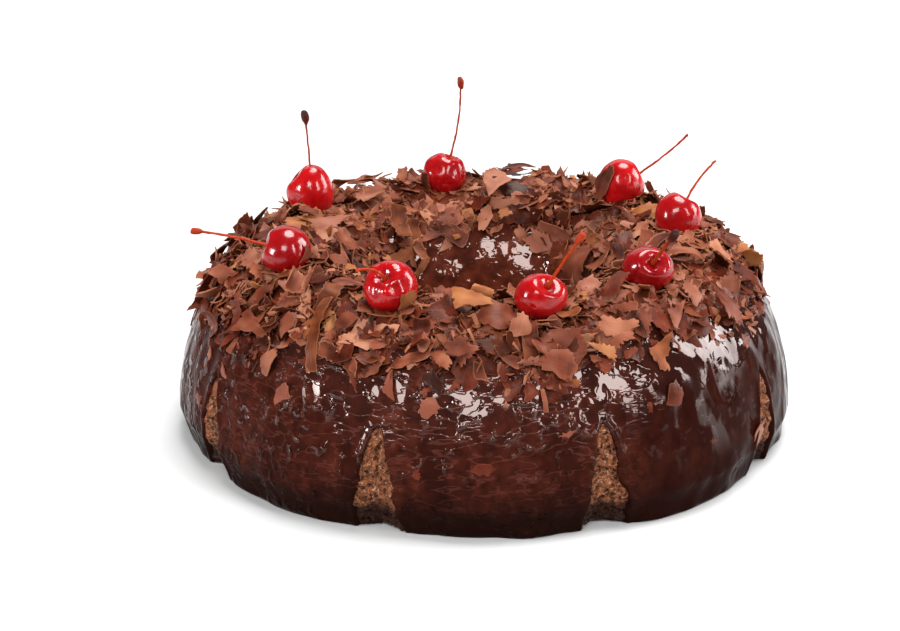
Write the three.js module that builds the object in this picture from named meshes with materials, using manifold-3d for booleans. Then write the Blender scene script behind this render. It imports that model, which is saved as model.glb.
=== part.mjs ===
// A ring-shaped chocolate cake, soaked and glazed, strewn with chocolate flakes and crowned with cherries.
// Units are millimetres and +Z is up. The origin is on the ring's axis, on the flat underside.
// An angle is measured round the ring from its front (-Y), and grows towards its right (+X).
// A lean tells the place across the ring: 0 is the ridge, 90 the widest outside, -90 the throat of the hole.

import * as THREE from "three";
import { mergeVertices } from "three/addons/utils/BufferGeometryUtils.js";
import Module from "manifold-3d";

const wasm = await Module();
wasm.setup();
const radians = THREE.MathUtils.degToRad;

// Driving dimensions of the ring
const CAKE_RADIUS = 121;
const CAKE_HEIGHT = 72;
const RIDGE_RADIUS = 79;
const WAIST_HEIGHT = 12; // where the outside is widest
const FOOT_RADIUS = 117;
const THROAT_RADIUS = 43; // the hole, where its rounded mouth ends
const THROAT_HEIGHT = 22;
const HOLE_RADIUS = 40; // the hole at the underside
const RING_SEGMENTS = 64;
const ARC_DIVISIONS = 4;

// Grooves of the baking tin, pointed at the top, that leave bare sponge between the runs of glaze
const GROOVE_COUNT = 9;
const GROOVE_START = -19.6; // degrees, the first groove left of the front
const GROOVE_TOP = 42;
const GROOVE_WIDTH = 18; // at the underside
const GROOVE_DEPTH = 4.5;
const GROOVE_SIDES = 10;
const GROOVE_STEPS = 5;
const LOBE_SWELL = 1.0; // how far the wall swells between two grooves

// Unevenness of the glazed ring: waves round it, as [waves in a turn, height, phase]
const WAVES = [
  [2, 0.5, 0.7],
  [3, 0.6, -2.1],
  [5, 0.5, 4.0],
  [11, 0.35, 1.3],
];

// Chocolate flakes
const FLAKE_LENGTH = [13, 23];
const FLAKE_SHAPE = [0.55, 0.85]; // width as a share of the length
const FLAKE_THICKNESS = 1.1;
const FLAKE_CORNERS = [5, 6];
const CORNER_REACH = [0.4, 0.6]; // from the flake's middle, as a share of its length or width
const CORNER_SHIFT = 0.3; // share of the way to the next corner
const FLAKE_BEND = [0.0, 0.012]; // rise per square millimetre from the middle
const FLAKE_TILT = 32; // degrees, the most that a flake stands off the ridge
const SIDE_TILT = 6; // the same on the steep wall, where the glaze holds it flat
const FLAKE_LIFT = 0.5; // the flake's middle above the glaze
const FLAKE_PITCH = 20; // from one flake of a row to the next
const FLAKE_ROWS = [0, 18, -18, 36, -38, 53, -56]; // leans, ridge first
const ROW_SPREAD = 4; // degrees that a flake may lie off its row
const OUTER_ROW_LEAN = 45; // beyond this lean the rows thin out
const SIDE_FLAKES = 2; // single flakes on the lower wall, between one groove and the next
const SIDE_LEANS = [58, 75];
const SIDE_MARGIN = 0.28; // share of the way between two grooves that they keep off each
const FLAKE_SEED = 5;

// Cherries, from the back left: angle, distance from the axis, radius, direction of the fuller shoulders,
// then the stem's direction, length, sideways bend and end knob
const CHERRIES = [
  {
    angle: -122, reach: 82, radius: 9.8, plump: 0,
    stem: { towards: [-0.02, 0.05, 1.0], length: 25, sway: [-0.6, 0.4], knob: 1.7 },
  },
  {
    angle: -67, reach: 81, radius: 9.6, plump: 40,
    stem: { towards: [-0.94, -0.05, 0.34], length: 28, sway: [-1.6, 0.0], knob: 1.3 },
  },
  {
    angle: -168, reach: 75, radius: 9.2, plump: 15,
    stem: { towards: [0.32, 0.05, 0.95], length: 33, sway: [-2.9, 0.0], knob: 1.5 },
  },
  {
    angle: 132, reach: 78, radius: 9.9, plump: 20,
    stem: { towards: [0.85, 0.2, 0.48], length: 28, sway: [-1.6, 0.0], knob: 0 },
  },
  {
    angle: 97, reach: 78, radius: 9.0, plump: 0,
    stem: { towards: [0.42, 0.3, 0.86], length: 21, sway: [2.6, 2.6], knob: 0 },
  },
  {
    angle: 48, reach: 80, radius: 9.4, plump: 0,
    stem: { towards: [0.2, -0.75, 0.62], length: 22, sway: [0.5, 1.0], knob: 1.8 },
  },
  {
    angle: 13, reach: 83.5, radius: 9.3, plump: 10,
    stem: { towards: [0.36, -0.45, 0.8], length: 27, sway: [0.3, 0.0], knob: 1.5 },
  },
  {
    angle: -25, reach: 81.5, radius: 10.0, plump: 60,
    stem: { towards: [-0.3, -0.6, 0.74], length: 18, sway: [-2.2, -3.2], knob: 0 },
  },
];
const CHERRY_SINK = 3.2; // how far a cherry is pressed into the glaze
const CHERRY_SEGMENTS = 12;
const CHERRY_RINGS = 10;
const DIMPLE_DEPTH = 0.4; // share of the radius
const DIMPLE_WIDTH = 0.36; // radians
const NAVEL_DEPTH = 0.07;
const NAVEL_WIDTH = 0.5;
const SHOULDER_SWELL = 0.07;
const STEM_RADIUS = 0.7;
const STEM_STAND = 0.95; // the stem's foot above the bottom of the dimple
const STEM_SIDES = 8;
const STEM_STEPS = 7;
const KNOB_STRETCH = 1.6;
const GAP = 0.35; // between pieces that touch
const FLAKE_CLEARANCE = 1.0; // between a cherry or stem and the nearest flake
const WELD = 0.001; // corners closer than this are one
const TRIM = 0.05; // slivers thinner than this are closed up after joining

const glazeMaterial = new THREE.MeshStandardMaterial({ color: 0x4a261c, roughness: 0.35, metalness: 0 });
const cherryMaterial = new THREE.MeshStandardMaterial({ color: 0xb81d1f, roughness: 0.15, metalness: 0 });
const stemMaterial = new THREE.MeshStandardMaterial({ color: 0x8a3d2d, roughness: 0.5, metalness: 0 });

// Repeatable draws between 0 and 1
function makeDraw(seed) {
  let state = seed;
  return () => {
    state = (state + 0x6d2b79f5) | 0;
    let mixed = Math.imul(state ^ (state >>> 15), 1 | state);
    mixed = (mixed + Math.imul(mixed ^ (mixed >>> 7), 61 | mixed)) ^ mixed;
    return ((mixed ^ (mixed >>> 14)) >>> 0) / 4294967296;
  };
}

// Conversion between three.js geometry and solids that can be joined and cut
function solidFrom(geometry) {
  const bare = geometry.clone();
  bare.deleteAttribute("normal");
  bare.deleteAttribute("uv");
  const merged = mergeVertices(bare, WELD);
  return new wasm.Manifold(
    new wasm.Mesh({
      numProp: 3,
      vertProperties: merged.attributes.position.array,
      triVerts: new Uint32Array(merged.index.array),
    }),
  );
}

function geometryFrom(solid) {
  const mesh = solid.getMesh();
  const geometry = new THREE.BufferGeometry();
  geometry.setAttribute("position", new THREE.BufferAttribute(mesh.vertProperties, 3));
  geometry.setIndex(new THREE.BufferAttribute(mesh.triVerts, 1));
  geometry.computeVertexNormals();
  return geometry;
}

// The main body of a joined solid: loose scraps are dropped and sealed hollows filled
function mainBody(solid) {
  const bodies = solid.decompose();
  return bodies.reduce((largest, body) => (body.volume() > largest.volume() ? body : largest));
}

// The ring's surface at one place: a point on it and its outward normal
function placeOnRing(angleDegrees, leanDegrees) {
  const angle = radians(angleDegrees);
  const lean = radians(leanDegrees);
  const outwards = new THREE.Vector3(Math.sin(angle), -Math.cos(angle), 0);
  const outside = leanDegrees >= 0;
  const across = outside ? CAKE_RADIUS - RIDGE_RADIUS : RIDGE_RADIUS - THROAT_RADIUS;
  const low = outside ? WAIST_HEIGHT : THROAT_HEIGHT;
  const rise = CAKE_HEIGHT - low;
  const point = outwards.clone().multiplyScalar(RIDGE_RADIUS + across * Math.sin(lean));
  const normal = outwards.clone().multiplyScalar(Math.sin(lean) / across);
  point.z = low + rise * Math.cos(lean);
  normal.z = Math.cos(lean) / rise;
  return { point, normal: normal.normalize() };
}

// Sponge ring with its coat of glaze
function ringOutline() {
  const outer = [CAKE_RADIUS - RIDGE_RADIUS, CAKE_HEIGHT - WAIST_HEIGHT];
  const inner = [RIDGE_RADIUS - THROAT_RADIUS, CAKE_HEIGHT - THROAT_HEIGHT];
  const outline = new THREE.Path();
  outline.moveTo(HOLE_RADIUS, 0);
  outline.lineTo(FOOT_RADIUS, 0);
  outline.lineTo(CAKE_RADIUS, WAIST_HEIGHT);
  outline.absellipse(RIDGE_RADIUS, WAIST_HEIGHT, ...outer, 0, Math.PI / 2);
  outline.absellipse(RIDGE_RADIUS, THROAT_HEIGHT, ...inner, Math.PI / 2, Math.PI);
  outline.lineTo(HOLE_RADIUS, 0);
  return outline.getPoints(ARC_DIVISIONS);
}

function swellAt(angle, height) {
  const fade = THREE.MathUtils.clamp(1 - height / CAKE_HEIGHT, 0, 1);
  const lobe = -Math.cos(GROOVE_COUNT * (angle - radians(GROOVE_START)));
  const waves = WAVES.reduce((sum, [count, size, phase]) => sum + size * Math.sin(count * angle + phase), 0);
  return LOBE_SWELL * fade * lobe + waves;
}

function ringSolid() {
  const geometry = new THREE.LatheGeometry(ringOutline(), RING_SEGMENTS);
  geometry.rotateX(Math.PI / 2);
  const position = geometry.attributes.position;
  const place = new THREE.Vector3();
  for (let i = 0; i < position.count; i++) {
    place.fromBufferAttribute(position, i);
    const radius = Math.hypot(place.x, place.y);
    const swell = swellAt(Math.atan2(place.x, -place.y), place.z);
    const outwards = THREE.MathUtils.clamp((radius - RIDGE_RADIUS) / (CAKE_RADIUS - RIDGE_RADIUS), -1, 1);
    const upwards = Math.sqrt(1 - outwards * outwards) * Math.min(1, place.z / WAIST_HEIGHT);
    const widened = (radius + swell * outwards) / radius;
    position.setXYZ(i, place.x * widened, place.y * widened, place.z + swell * upwards);
  }
  return solidFrom(geometry);
}

// The wall's distance from the axis at one height
function wallRadius(height) {
  if (height < WAIST_HEIGHT) return FOOT_RADIUS + (CAKE_RADIUS - FOOT_RADIUS) * (height / WAIST_HEIGHT);
  const climb = (height - WAIST_HEIGHT) / (CAKE_HEIGHT - WAIST_HEIGHT);
  return RIDGE_RADIUS + (CAKE_RADIUS - RIDGE_RADIUS) * Math.sqrt(1 - climb * climb);
}

// One pointed groove, as the slim cone that it takes away, bent to follow the wall
function grooveSolid(index) {
  const height = GROOVE_TOP + GAP;
  const cone = new THREE.ConeGeometry(GROOVE_WIDTH / 2, height, GROOVE_SIDES, GROOVE_STEPS);
  cone.scale(1, 1, GROOVE_DEPTH / (GROOVE_WIDTH / 2));
  cone.rotateX(Math.PI / 2);
  cone.translate(0, 0, height / 2 - GAP);
  const position = cone.attributes.position;
  for (let i = 0; i < position.count; i++) {
    position.setY(i, position.getY(i) - wallRadius(position.getZ(i)));
  }
  cone.rotateZ(radians(GROOVE_START + (index * 360) / GROOVE_COUNT));
  return solidFrom(cone);
}

// Cherries and stems, each built about the cherry's middle with the stem along +Z
function cherryOutline(radius) {
  return Array.from({ length: CHERRY_RINGS + 1 }, (_, i) => {
    const polar = (Math.PI * i) / CHERRY_RINGS;
    const dimple = DIMPLE_DEPTH * Math.exp(-((polar / DIMPLE_WIDTH) ** 2));
    const navel = NAVEL_DEPTH * Math.exp(-(((Math.PI - polar) / NAVEL_WIDTH) ** 2));
    const reach = radius * (1 - dimple - navel);
    const atPole = i === 0 || i === CHERRY_RINGS;
    return new THREE.Vector2(atPole ? 0 : reach * Math.sin(polar), reach * Math.cos(polar));
  }).reverse();
}

function cherryGeometry({ radius, plump }) {
  const geometry = new THREE.LatheGeometry(cherryOutline(radius), CHERRY_SEGMENTS);
  geometry.rotateX(Math.PI / 2);
  const position = geometry.attributes.position;
  const place = new THREE.Vector3();
  for (let i = 0; i < position.count; i++) {
    place.fromBufferAttribute(position, i);
    const turn = Math.atan2(place.y, place.x) - radians(plump);
    const upper = 0.5 + (0.5 * place.z) / place.length();
    const girth = Math.hypot(place.x, place.y) / place.length();
    place.multiplyScalar(1 + SHOULDER_SWELL * Math.cos(2 * turn) * upper * girth);
    position.setXYZ(i, ...place);
  }
  return geometry;
}

function stemCurve({ radius, stem }) {
  const foot = radius * (1 - DIMPLE_DEPTH) + STEM_STAND;
  return new THREE.QuadraticBezierCurve3(
    new THREE.Vector3(0, 0, foot),
    new THREE.Vector3(0, 0, foot + stem.length / 2),
    new THREE.Vector3(2 * stem.sway[0], 2 * stem.sway[1], foot + stem.length),
  );
}

function stemGeometry(cherry) {
  const curve = stemCurve(cherry);
  const section = new THREE.Shape(
    Array.from({ length: STEM_SIDES }, (_, i) => {
      const turn = (2 * Math.PI * i) / STEM_SIDES;
      return new THREE.Vector2(STEM_RADIUS * Math.cos(turn), STEM_RADIUS * Math.sin(turn));
    }),
  );
  const sweep = { steps: STEM_STEPS, extrudePath: curve, bevelEnabled: false };
  const stalk = new THREE.ExtrudeGeometry(section, sweep);
  if (!cherry.stem.knob) return stalk;
  const knob = new THREE.SphereGeometry(cherry.stem.knob, STEM_SIDES, STEM_SIDES - 2);
  knob.rotateX(Math.PI / 2);
  knob.scale(1, 1, KNOB_STRETCH);
  knob.translate(...curve.getPoint(1));
  return geometryFrom(solidFrom(stalk).add(solidFrom(knob)));
}

function cherryPlace({ angle, reach, radius, stem }) {
  const edge = reach >= RIDGE_RADIUS ? CAKE_RADIUS : 2 * RIDGE_RADIUS - THROAT_RADIUS;
  const lean = Math.asin((reach - RIDGE_RADIUS) / (edge - RIDGE_RADIUS));
  const { point, normal } = placeOnRing(angle, THREE.MathUtils.radToDeg(lean));
  const place = new THREE.Object3D();
  place.position.copy(point).addScaledVector(normal, radius - CHERRY_SINK);
  const towards = new THREE.Vector3(...stem.towards).normalize();
  place.quaternion.setFromUnitVectors(new THREE.Vector3(0, 0, 1), towards);
  place.updateMatrix();
  return place;
}

// The room that a cherry takes up, with a small gap all round
function cherrySeat(cherry) {
  const seat = cherryGeometry(cherry);
  const grown = (cherry.radius + GAP) / cherry.radius;
  seat.scale(grown, grown, grown);
  return solidFrom(seat.applyMatrix4(cherryPlace(cherry).matrix));
}

// Balls along a cherry and its stem, which the flakes keep clear of
function cherryGuard(cherry) {
  const { matrix, position } = cherryPlace(cherry);
  const stemReach = Math.max(STEM_RADIUS, cherry.stem.knob * KNOB_STRETCH);
  const along = stemCurve(cherry)
    .getPoints(STEM_STEPS)
    .map((point) => ({ centre: point.applyMatrix4(matrix), reach: stemReach }));
  return [{ centre: position, reach: cherry.radius }, ...along];
}

// One thin bent flake, lying in its own XY plane
function flakeGeometry(between) {
  const length = between(FLAKE_LENGTH);
  const width = length * between(FLAKE_SHAPE);
  const bend = between(FLAKE_BEND);
  const corners = Math.round(between(FLAKE_CORNERS));
  const outline = Array.from({ length: corners }, (_, i) => {
    const turn = (2 * Math.PI * (i + between([-CORNER_SHIFT, CORNER_SHIFT]))) / corners;
    const reach = between(CORNER_REACH);
    return new THREE.Vector2(length * reach * Math.cos(turn), width * reach * Math.sin(turn));
  });
  const slab = { depth: FLAKE_THICKNESS, bevelEnabled: false };
  const flake = new THREE.ExtrudeGeometry(new THREE.Shape(outline), slab);
  flake.translate(0, 0, -FLAKE_THICKNESS / 2);
  const position = flake.attributes.position;
  for (let i = 0; i < position.count; i++) {
    position.setZ(i, position.getZ(i) + bend * position.getX(i) ** 2);
  }
  return flake;
}

// True where a flake lies against a cherry or a stem
function isBlocked(flake, guards) {
  flake.computeBoundingSphere();
  const { center } = flake.boundingSphere;
  const { position } = flake.attributes;
  const cornerAt = (_, i) => new THREE.Vector3().fromBufferAttribute(position, i);
  const corners = Array.from({ length: position.count }, cornerAt);
  return guards.some(({ centre, reach }) =>
    [center, ...corners].some((place) => place.distanceTo(centre) < reach + FLAKE_CLEARANCE),
  );
}

// A flake laid on the ring, turned and tilted by chance
function laidFlake(angle, lean, between) {
  const { point, normal } = placeOnRing(angle, lean);
  const place = new THREE.Object3D();
  place.position.copy(point).addScaledVector(normal, FLAKE_LIFT);
  place.quaternion.setFromUnitVectors(new THREE.Vector3(0, 0, 1), normal);
  place.rotateZ(between([0, 2 * Math.PI]));
  const mostTilt = THREE.MathUtils.lerp(SIDE_TILT, FLAKE_TILT, normal.z);
  place.rotateY(radians(between([-mostTilt, mostTilt])));
  place.updateMatrix();
  return flakeGeometry(between).applyMatrix4(place.matrix);
}

function flakeSolids(guards) {
  const draw = makeDraw(FLAKE_SEED);
  const between = ([least, most]) => least + (most - least) * draw();
  const places = [];
  for (const row of FLAKE_ROWS) {
    const { point } = placeOnRing(0, row);
    const sparse = row > OUTER_ROW_LEAN ? 2 : 1;
    const count = Math.floor((2 * Math.PI * Math.abs(point.y)) / (FLAKE_PITCH * sparse));
    for (let i = 0; i < count; i++) {
      const angle = (360 * (i + between([0, 0.5]))) / count;
      places.push([angle, row + between([-ROW_SPREAD, ROW_SPREAD])]);
    }
  }
  for (let i = 0; i < SIDE_FLAKES * GROOVE_COUNT; i++) {
    const lobe = (i % GROOVE_COUNT) + between([SIDE_MARGIN, 1 - SIDE_MARGIN]);
    places.push([GROOVE_START + (360 * lobe) / GROOVE_COUNT, between(SIDE_LEANS)]);
  }
  return places
    .map(([angle, lean]) => laidFlake(angle, lean, between))
    .filter((flake) => !isBlocked(flake, guards))
    .map(solidFrom);
}

function cakeSolid() {
  const grooves = Array.from({ length: GROOVE_COUNT }, (_, i) => grooveSolid(i));
  const ring = grooves.reduce((body, groove) => body.subtract(groove), ringSolid());
  const strewn = wasm.Manifold.union([ring, ...flakeSolids(CHERRIES.flatMap(cherryGuard))]);
  const seated = CHERRIES.map(cherrySeat).reduce((body, seat) => body.subtract(seat), strewn);
  return mainBody(mainBody(seated).setTolerance(TRIM));
}

function namedMesh(name, geometry, material) {
  const mesh = new THREE.Mesh(geometry, material);
  mesh.name = name;
  return mesh;
}

const cake = new THREE.Group();
cake.add(namedMesh("cake", geometryFrom(cakeSolid()), glazeMaterial));
CHERRIES.forEach((cherry, i) => {
  const { position, quaternion } = cherryPlace(cherry);
  const fruit = new THREE.Group();
  fruit.position.copy(position);
  fruit.quaternion.copy(quaternion);
  fruit.add(namedMesh(`cherry_${i + 1}`, cherryGeometry(cherry), cherryMaterial));
  fruit.add(namedMesh(`stem_${i + 1}`, stemGeometry(cherry), stemMaterial));
  cake.add(fruit);
});

export default cake;
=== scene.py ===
# %% [markdown]
# # A soaked chocolate ring cake
# This lesson dresses the measured solids of a ring cake: a moist sponge, a poured glaze, a bed of shaved
# chocolate and a crown of cherries. The solids are loaded first and never moved. Each cell then makes one
# piece or one finish that sits exactly on them, so the sizes below repeat the sizes of the solids, in mm.

# %% Load the measured solids
import itertools
import math

import bpy
import numpy as np
from mathutils import Matrix, Vector


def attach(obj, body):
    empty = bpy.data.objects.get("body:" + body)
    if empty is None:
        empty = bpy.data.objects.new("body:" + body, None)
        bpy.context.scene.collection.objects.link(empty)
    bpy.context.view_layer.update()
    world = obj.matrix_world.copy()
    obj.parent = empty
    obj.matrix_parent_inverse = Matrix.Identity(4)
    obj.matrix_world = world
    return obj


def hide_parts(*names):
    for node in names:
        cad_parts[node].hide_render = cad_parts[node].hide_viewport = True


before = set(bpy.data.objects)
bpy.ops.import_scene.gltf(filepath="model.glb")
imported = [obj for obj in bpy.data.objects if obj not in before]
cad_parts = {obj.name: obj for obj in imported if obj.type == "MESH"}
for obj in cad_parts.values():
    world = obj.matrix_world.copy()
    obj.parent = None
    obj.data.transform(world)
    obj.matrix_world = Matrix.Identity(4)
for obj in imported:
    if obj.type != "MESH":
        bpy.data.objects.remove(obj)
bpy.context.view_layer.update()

MM = 0.001
TURN = 2 * math.pi

# %% [markdown]
# ## Camera
# A product photograph is taken from some way off with a long lens, so that the ring keeps its shape. The
# camera here stands almost a metre away, twenty degrees above the floor, and looks a little left of the
# axis.

# %% Camera
FRAME_WIDTH_PX = 900
FOCAL_PX = 2136
SENSOR_WIDTH = 36.0
CAMERA_DISTANCE = 850
CAMERA_ELEVATION = math.radians(20.2)
CAMERA_ROLL = math.radians(-0.3)
CAMERA_TARGET = Vector((-13.3, 0, 40.5))

camera = bpy.data.objects.new("camera", bpy.data.cameras.new("camera"))
camera.data.sensor_width = SENSOR_WIDTH
camera.data.lens = FOCAL_PX * SENSOR_WIDTH / FRAME_WIDTH_PX
camera.data.clip_start = 0.01
camera_offset = Vector((0, -math.cos(CAMERA_ELEVATION), math.sin(CAMERA_ELEVATION))) * CAMERA_DISTANCE
camera_turn = Matrix.Rotation(math.pi / 2 - CAMERA_ELEVATION, 4, "X") @ Matrix.Rotation(CAMERA_ROLL, 4, "Z")
camera.matrix_world = Matrix.Translation((CAMERA_TARGET + camera_offset) * MM) @ camera_turn
bpy.context.scene.collection.objects.link(camera)
bpy.context.scene.camera = camera
print("camera lens:", round(camera.data.lens, 1), "mm")

# %% [markdown]
# ## Shader sums in plain Python
# A finish is a tree of nodes. Writing one by hand is slow to read, so one small class wraps an output socket
# and lets Python's own signs add the Math nodes. A second class holds the material and has one method that
# adds any other node: its settings first, then the values or links of its sockets.

# %% Wires and finishes
class Wire:
    """An output of a shader node. Sums with it add Math nodes."""

    def __init__(self, finish, socket):
        self.finish = finish
        self.socket = socket

    def sum_with(self, operation, first, second):
        return self.finish.node("ShaderNodeMath", {"operation": operation}, {0: first, 1: second})

    def __add__(self, other):
        return self.sum_with("ADD", self, other)

    def __radd__(self, other):
        return self.sum_with("ADD", other, self)

    def __sub__(self, other):
        return self.sum_with("SUBTRACT", self, other)

    def __rsub__(self, other):
        return self.sum_with("SUBTRACT", other, self)

    def __mul__(self, other):
        return self.sum_with("MULTIPLY", self, other)

    def __rmul__(self, other):
        return self.sum_with("MULTIPLY", other, self)


class Finish:
    """A material, and the one way to add a node to it."""

    def __init__(self, name):
        self.material = bpy.data.materials.new(name)
        self.material.use_nodes = True
        self.tree = self.material.node_tree
        self.tree.nodes.clear()

    def node(self, kind, settings=None, sockets=None, output=0):
        """Add a node with its settings and the values or links of its sockets."""
        node = self.tree.nodes.new(kind)
        for name, value in (settings or {}).items():
            if name == "stops":
                fill_ramp(node.color_ramp, value)
            else:
                setattr(node, name, value)
        for key, value in (sockets or {}).items():
            if isinstance(value, Wire):
                self.tree.links.new(value.socket, node.inputs[key])
            else:
                node.inputs[key].default_value = value
        return Wire(self, node.outputs[output]) if node.outputs else None


def fill_ramp(ramp, stops):
    """Put (position, grey) stops on a colour ramp."""
    while len(ramp.elements) < len(stops):
        ramp.elements.new(1.0)
    for element, (position, grey) in zip(ramp.elements, stops):
        element.position = position
        element.color = (grey, grey, grey, 1.0)


# %% Shorthands for places and patterns
def millimetres(finish):
    """The place on the object, in mm."""
    place = finish.node("ShaderNodeTexCoord", output="Object")
    return finish.node("ShaderNodeVectorMath", {"operation": "SCALE"}, {0: place, "Scale": 1 / MM})


def stretched(vector, x, y, z):
    """A place with its axes scaled, which stretches the pattern that reads it."""
    return vector.finish.node("ShaderNodeVectorMath", {"operation": "MULTIPLY"}, {0: vector, 1: (x, y, z)})


def along_axis(vector, axis):
    """One of a vector's three numbers."""
    return vector.finish.node("ShaderNodeSeparateXYZ", {}, {0: vector}, output=axis)


def clouds(vector, size, detail=3.0, roughness=0.55):
    """Soft noise, 0 to 1, whose blobs are about size mm."""
    sockets = {"Vector": vector, "Scale": 1 / size, "Detail": detail, "Roughness": roughness}
    return vector.finish.node("ShaderNodeTexNoise", {}, sockets)


def cells(vector, size):
    """Distance to the nearest of many scattered points, which lie about size mm apart."""
    return vector.finish.node("ShaderNodeTexVoronoi", {}, {"Vector": vector, "Scale": 1 / size})


# %% Shorthands for colours and relief
def paint(red, green, blue):
    """An sRGB colour, 0 to 255, as the linear colour that a shader takes."""
    shares = [channel / 255 for channel in (red, green, blue)]
    return tuple(c / 12.92 if c <= 0.04045 else ((c + 0.055) / 1.055) ** 2.4 for c in shares) + (1.0,)


def curve(wire, *stops):
    """A value passed through a ramp of (position, grey) stops."""
    return wire.finish.node("ShaderNodeValToRGB", {"stops": stops}, {"Fac": wire})


def blend(share, first, second):
    """Two colours mixed by a share. A plain colour is sRGB, 0 to 255."""
    first, second = (colour if isinstance(colour, Wire) else paint(*colour) for colour in (first, second))
    sockets = {0: share, 6: first, 7: second}
    return share.finish.node("ShaderNodeMix", {"data_type": "RGBA"}, sockets, output=2)


def falling(wire, top, bottom):
    """A smooth share that grows from 0 to 1 as a value falls from top to bottom."""
    sockets = {"Value": wire, "From Min": float(top), "From Max": float(bottom)}
    return wire.finish.node("ShaderNodeMapRange", {"interpolation_type": "SMOOTHSTEP"}, sockets)


def relief(height, depth_mm):
    """A bumped normal from a height that runs from 0 to 1 over depth_mm."""
    sockets = {"Height": height, "Strength": 1.0, "Distance": depth_mm * MM}
    return height.finish.node("ShaderNodeBump", {}, sockets)


def attribute(finish, name, output="Fac"):
    """A number or a vector that the mesh carries at its points."""
    return finish.node("ShaderNodeAttribute", {"attribute_name": name}, output=output)


def close_finish(finish, sockets=None, surface=None):
    """Put a surface shader on a finish, the usual one unless another is given, and return its material."""
    surface = surface or finish.node("ShaderNodeBsdfPrincipled", {}, sockets)
    finish.node("ShaderNodeOutputMaterial", {}, {"Surface": surface})
    print(f"{finish.material.name}: {len(finish.tree.nodes)} nodes")
    return finish.material


# %% [markdown]
# ## Meshes from arrays
# Every piece here is worked out with numpy, because thousands of flakes are quicker to place as arrays than
# as objects. One helper turns an array of points in mm and a list of faces into an object that rides on the
# cake, and one function gives smooth noise for many points at once.

# %% Mesh helpers
def add_piece(name, points, faces, material, replaced=(), sharp_angle=None):
    """A mesh object from points in mm, riding on the cake."""
    mesh = bpy.data.meshes.new(name)
    mesh.from_pydata((np.asarray(points) * MM).tolist(), [], faces.tolist())
    mesh.shade_smooth()
    if sharp_angle:
        mesh.set_sharp_from_angle(angle=math.radians(sharp_angle))
    mesh.materials.append(material)
    piece = bpy.data.objects.new(name, mesh)
    bpy.context.scene.collection.objects.link(piece)
    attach(piece, "root")
    if replaced:
        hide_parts(*replaced)
    print(f"{name}: {len(mesh.vertices)} points, {len(mesh.polygons)} faces")
    return piece


def carry(piece, name, values):
    """Store a number or a vector for every point of a piece, for its finish to read."""
    values = np.asarray(values, np.float32)
    kind, field = ("FLOAT", "value") if values.ndim == 1 else ("FLOAT_VECTOR", "vector")
    layer = piece.data.attributes.new(name, kind, "POINT")
    layer.data.foreach_set(field, values.ravel())


def closed_grid(rows, columns):
    """Quads of a grid that closes on itself both ways."""
    row, column = np.meshgrid(np.arange(rows), np.arange(columns), indexing="ij")
    below = (row + 1) % rows
    beside = (column + 1) % columns
    here, under = row * columns, below * columns
    corners = [here + column, here + beside, under + beside, under + column]
    return np.stack(corners, -1).reshape(-1, 4)


# %% Smooth noise and shares
def waviness(points, size, seed):
    """Smooth noise between -1 and 1 at many points, with waves about size mm long."""
    scaled = np.asarray(points, float) / size
    cell = np.floor(scaled).astype(np.int64)
    part = scaled - cell
    part = part * part * (3 - 2 * part)
    total = np.zeros(len(scaled))
    for corner in itertools.product((0, 1), repeat=3):
        x, y, z = (cell + corner).T
        mixed = (x * 73856093) ^ (y * 19349663) ^ (z * 83492791) ^ (seed * 49979687)
        mixed = ((mixed ^ (mixed >> 13)) * 1274126177) & 0xFFFFFFFF
        mixed = ((mixed ^ (mixed >> 16)) * 668265263) & 0xFFFFFFFF
        value = (mixed >> 8 & 0xFFFF) / 32767.5 - 1
        total += value * np.prod(np.where(corner, part, 1 - part), axis=1)
    return total


def smooth_step(low, high, value):
    """A share that eases from 0 at low to 1 at high."""
    share = np.clip((value - low) / (high - low), 0, 1)
    return share * share * (3 - 2 * share)


def hump(value, middle, width):
    """A bell-shaped share: 1 in the middle, almost 0 two widths away."""
    return np.exp(-(((value - middle) / width) ** 2))


# %% [markdown]
# ## The ring
# A place on the ring has an angle, from the front towards the right, and a lean across its section: 0 on the
# ridge, 90 at the widest outside, -90 in the throat of the hole. The same numbers made the solid, so pieces
# placed by angle and lean lie on it.

# %% Sizes of the ring
CAKE_RADIUS = 121.0
CAKE_HEIGHT = 72.0
RIDGE_RADIUS = 79.0
WAIST_HEIGHT = 12.0
FOOT_RADIUS = 117.0
THROAT_RADIUS = 43.0
THROAT_HEIGHT = 22.0
HOLE_RADIUS = 40.0
GROOVE_COUNT = 9
GROOVE_PITCH = TURN / GROOVE_COUNT
GROOVE_START = math.radians(-19.6)
GROOVE_TOP = 42.0
GROOVE_WIDTH = 18.0
GROOVE_DEPTH = 4.5
LOBE_SWELL = 1.0
WAVES = [(2, 0.5, 0.7), (3, 0.6, -2.1), (5, 0.5, 4.0), (11, 0.35, 1.3)]


def ring_half(outside):
    """Half width and foot height of the rounded section, outside or inside the ridge."""
    across = np.where(outside, CAKE_RADIUS - RIDGE_RADIUS, RIDGE_RADIUS - THROAT_RADIUS)
    low = np.where(outside, WAIST_HEIGHT, THROAT_HEIGHT)
    return across, low


def section_at(lean):
    """Distance from the axis, height, and the two parts of the outward normal."""
    across, low = ring_half(lean >= 0)
    rise = CAKE_HEIGHT - low
    outward, upward = np.sin(lean) / across, np.cos(lean) / rise
    length = np.hypot(outward, upward)
    return RIDGE_RADIUS + across * np.sin(lean), low + rise * np.cos(lean), outward / length, upward / length


def swell_at(angle, height):
    """How far the ring stands out at a place, from its lobes and its unevenness."""
    fade = np.clip(1 - height / CAKE_HEIGHT, 0, 1)
    lobe = -np.cos(GROOVE_COUNT * (angle - GROOVE_START))
    waves = sum(size * np.sin(count * angle + phase) for count, size, phase in WAVES)
    return LOBE_SWELL * fade * lobe + waves


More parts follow.
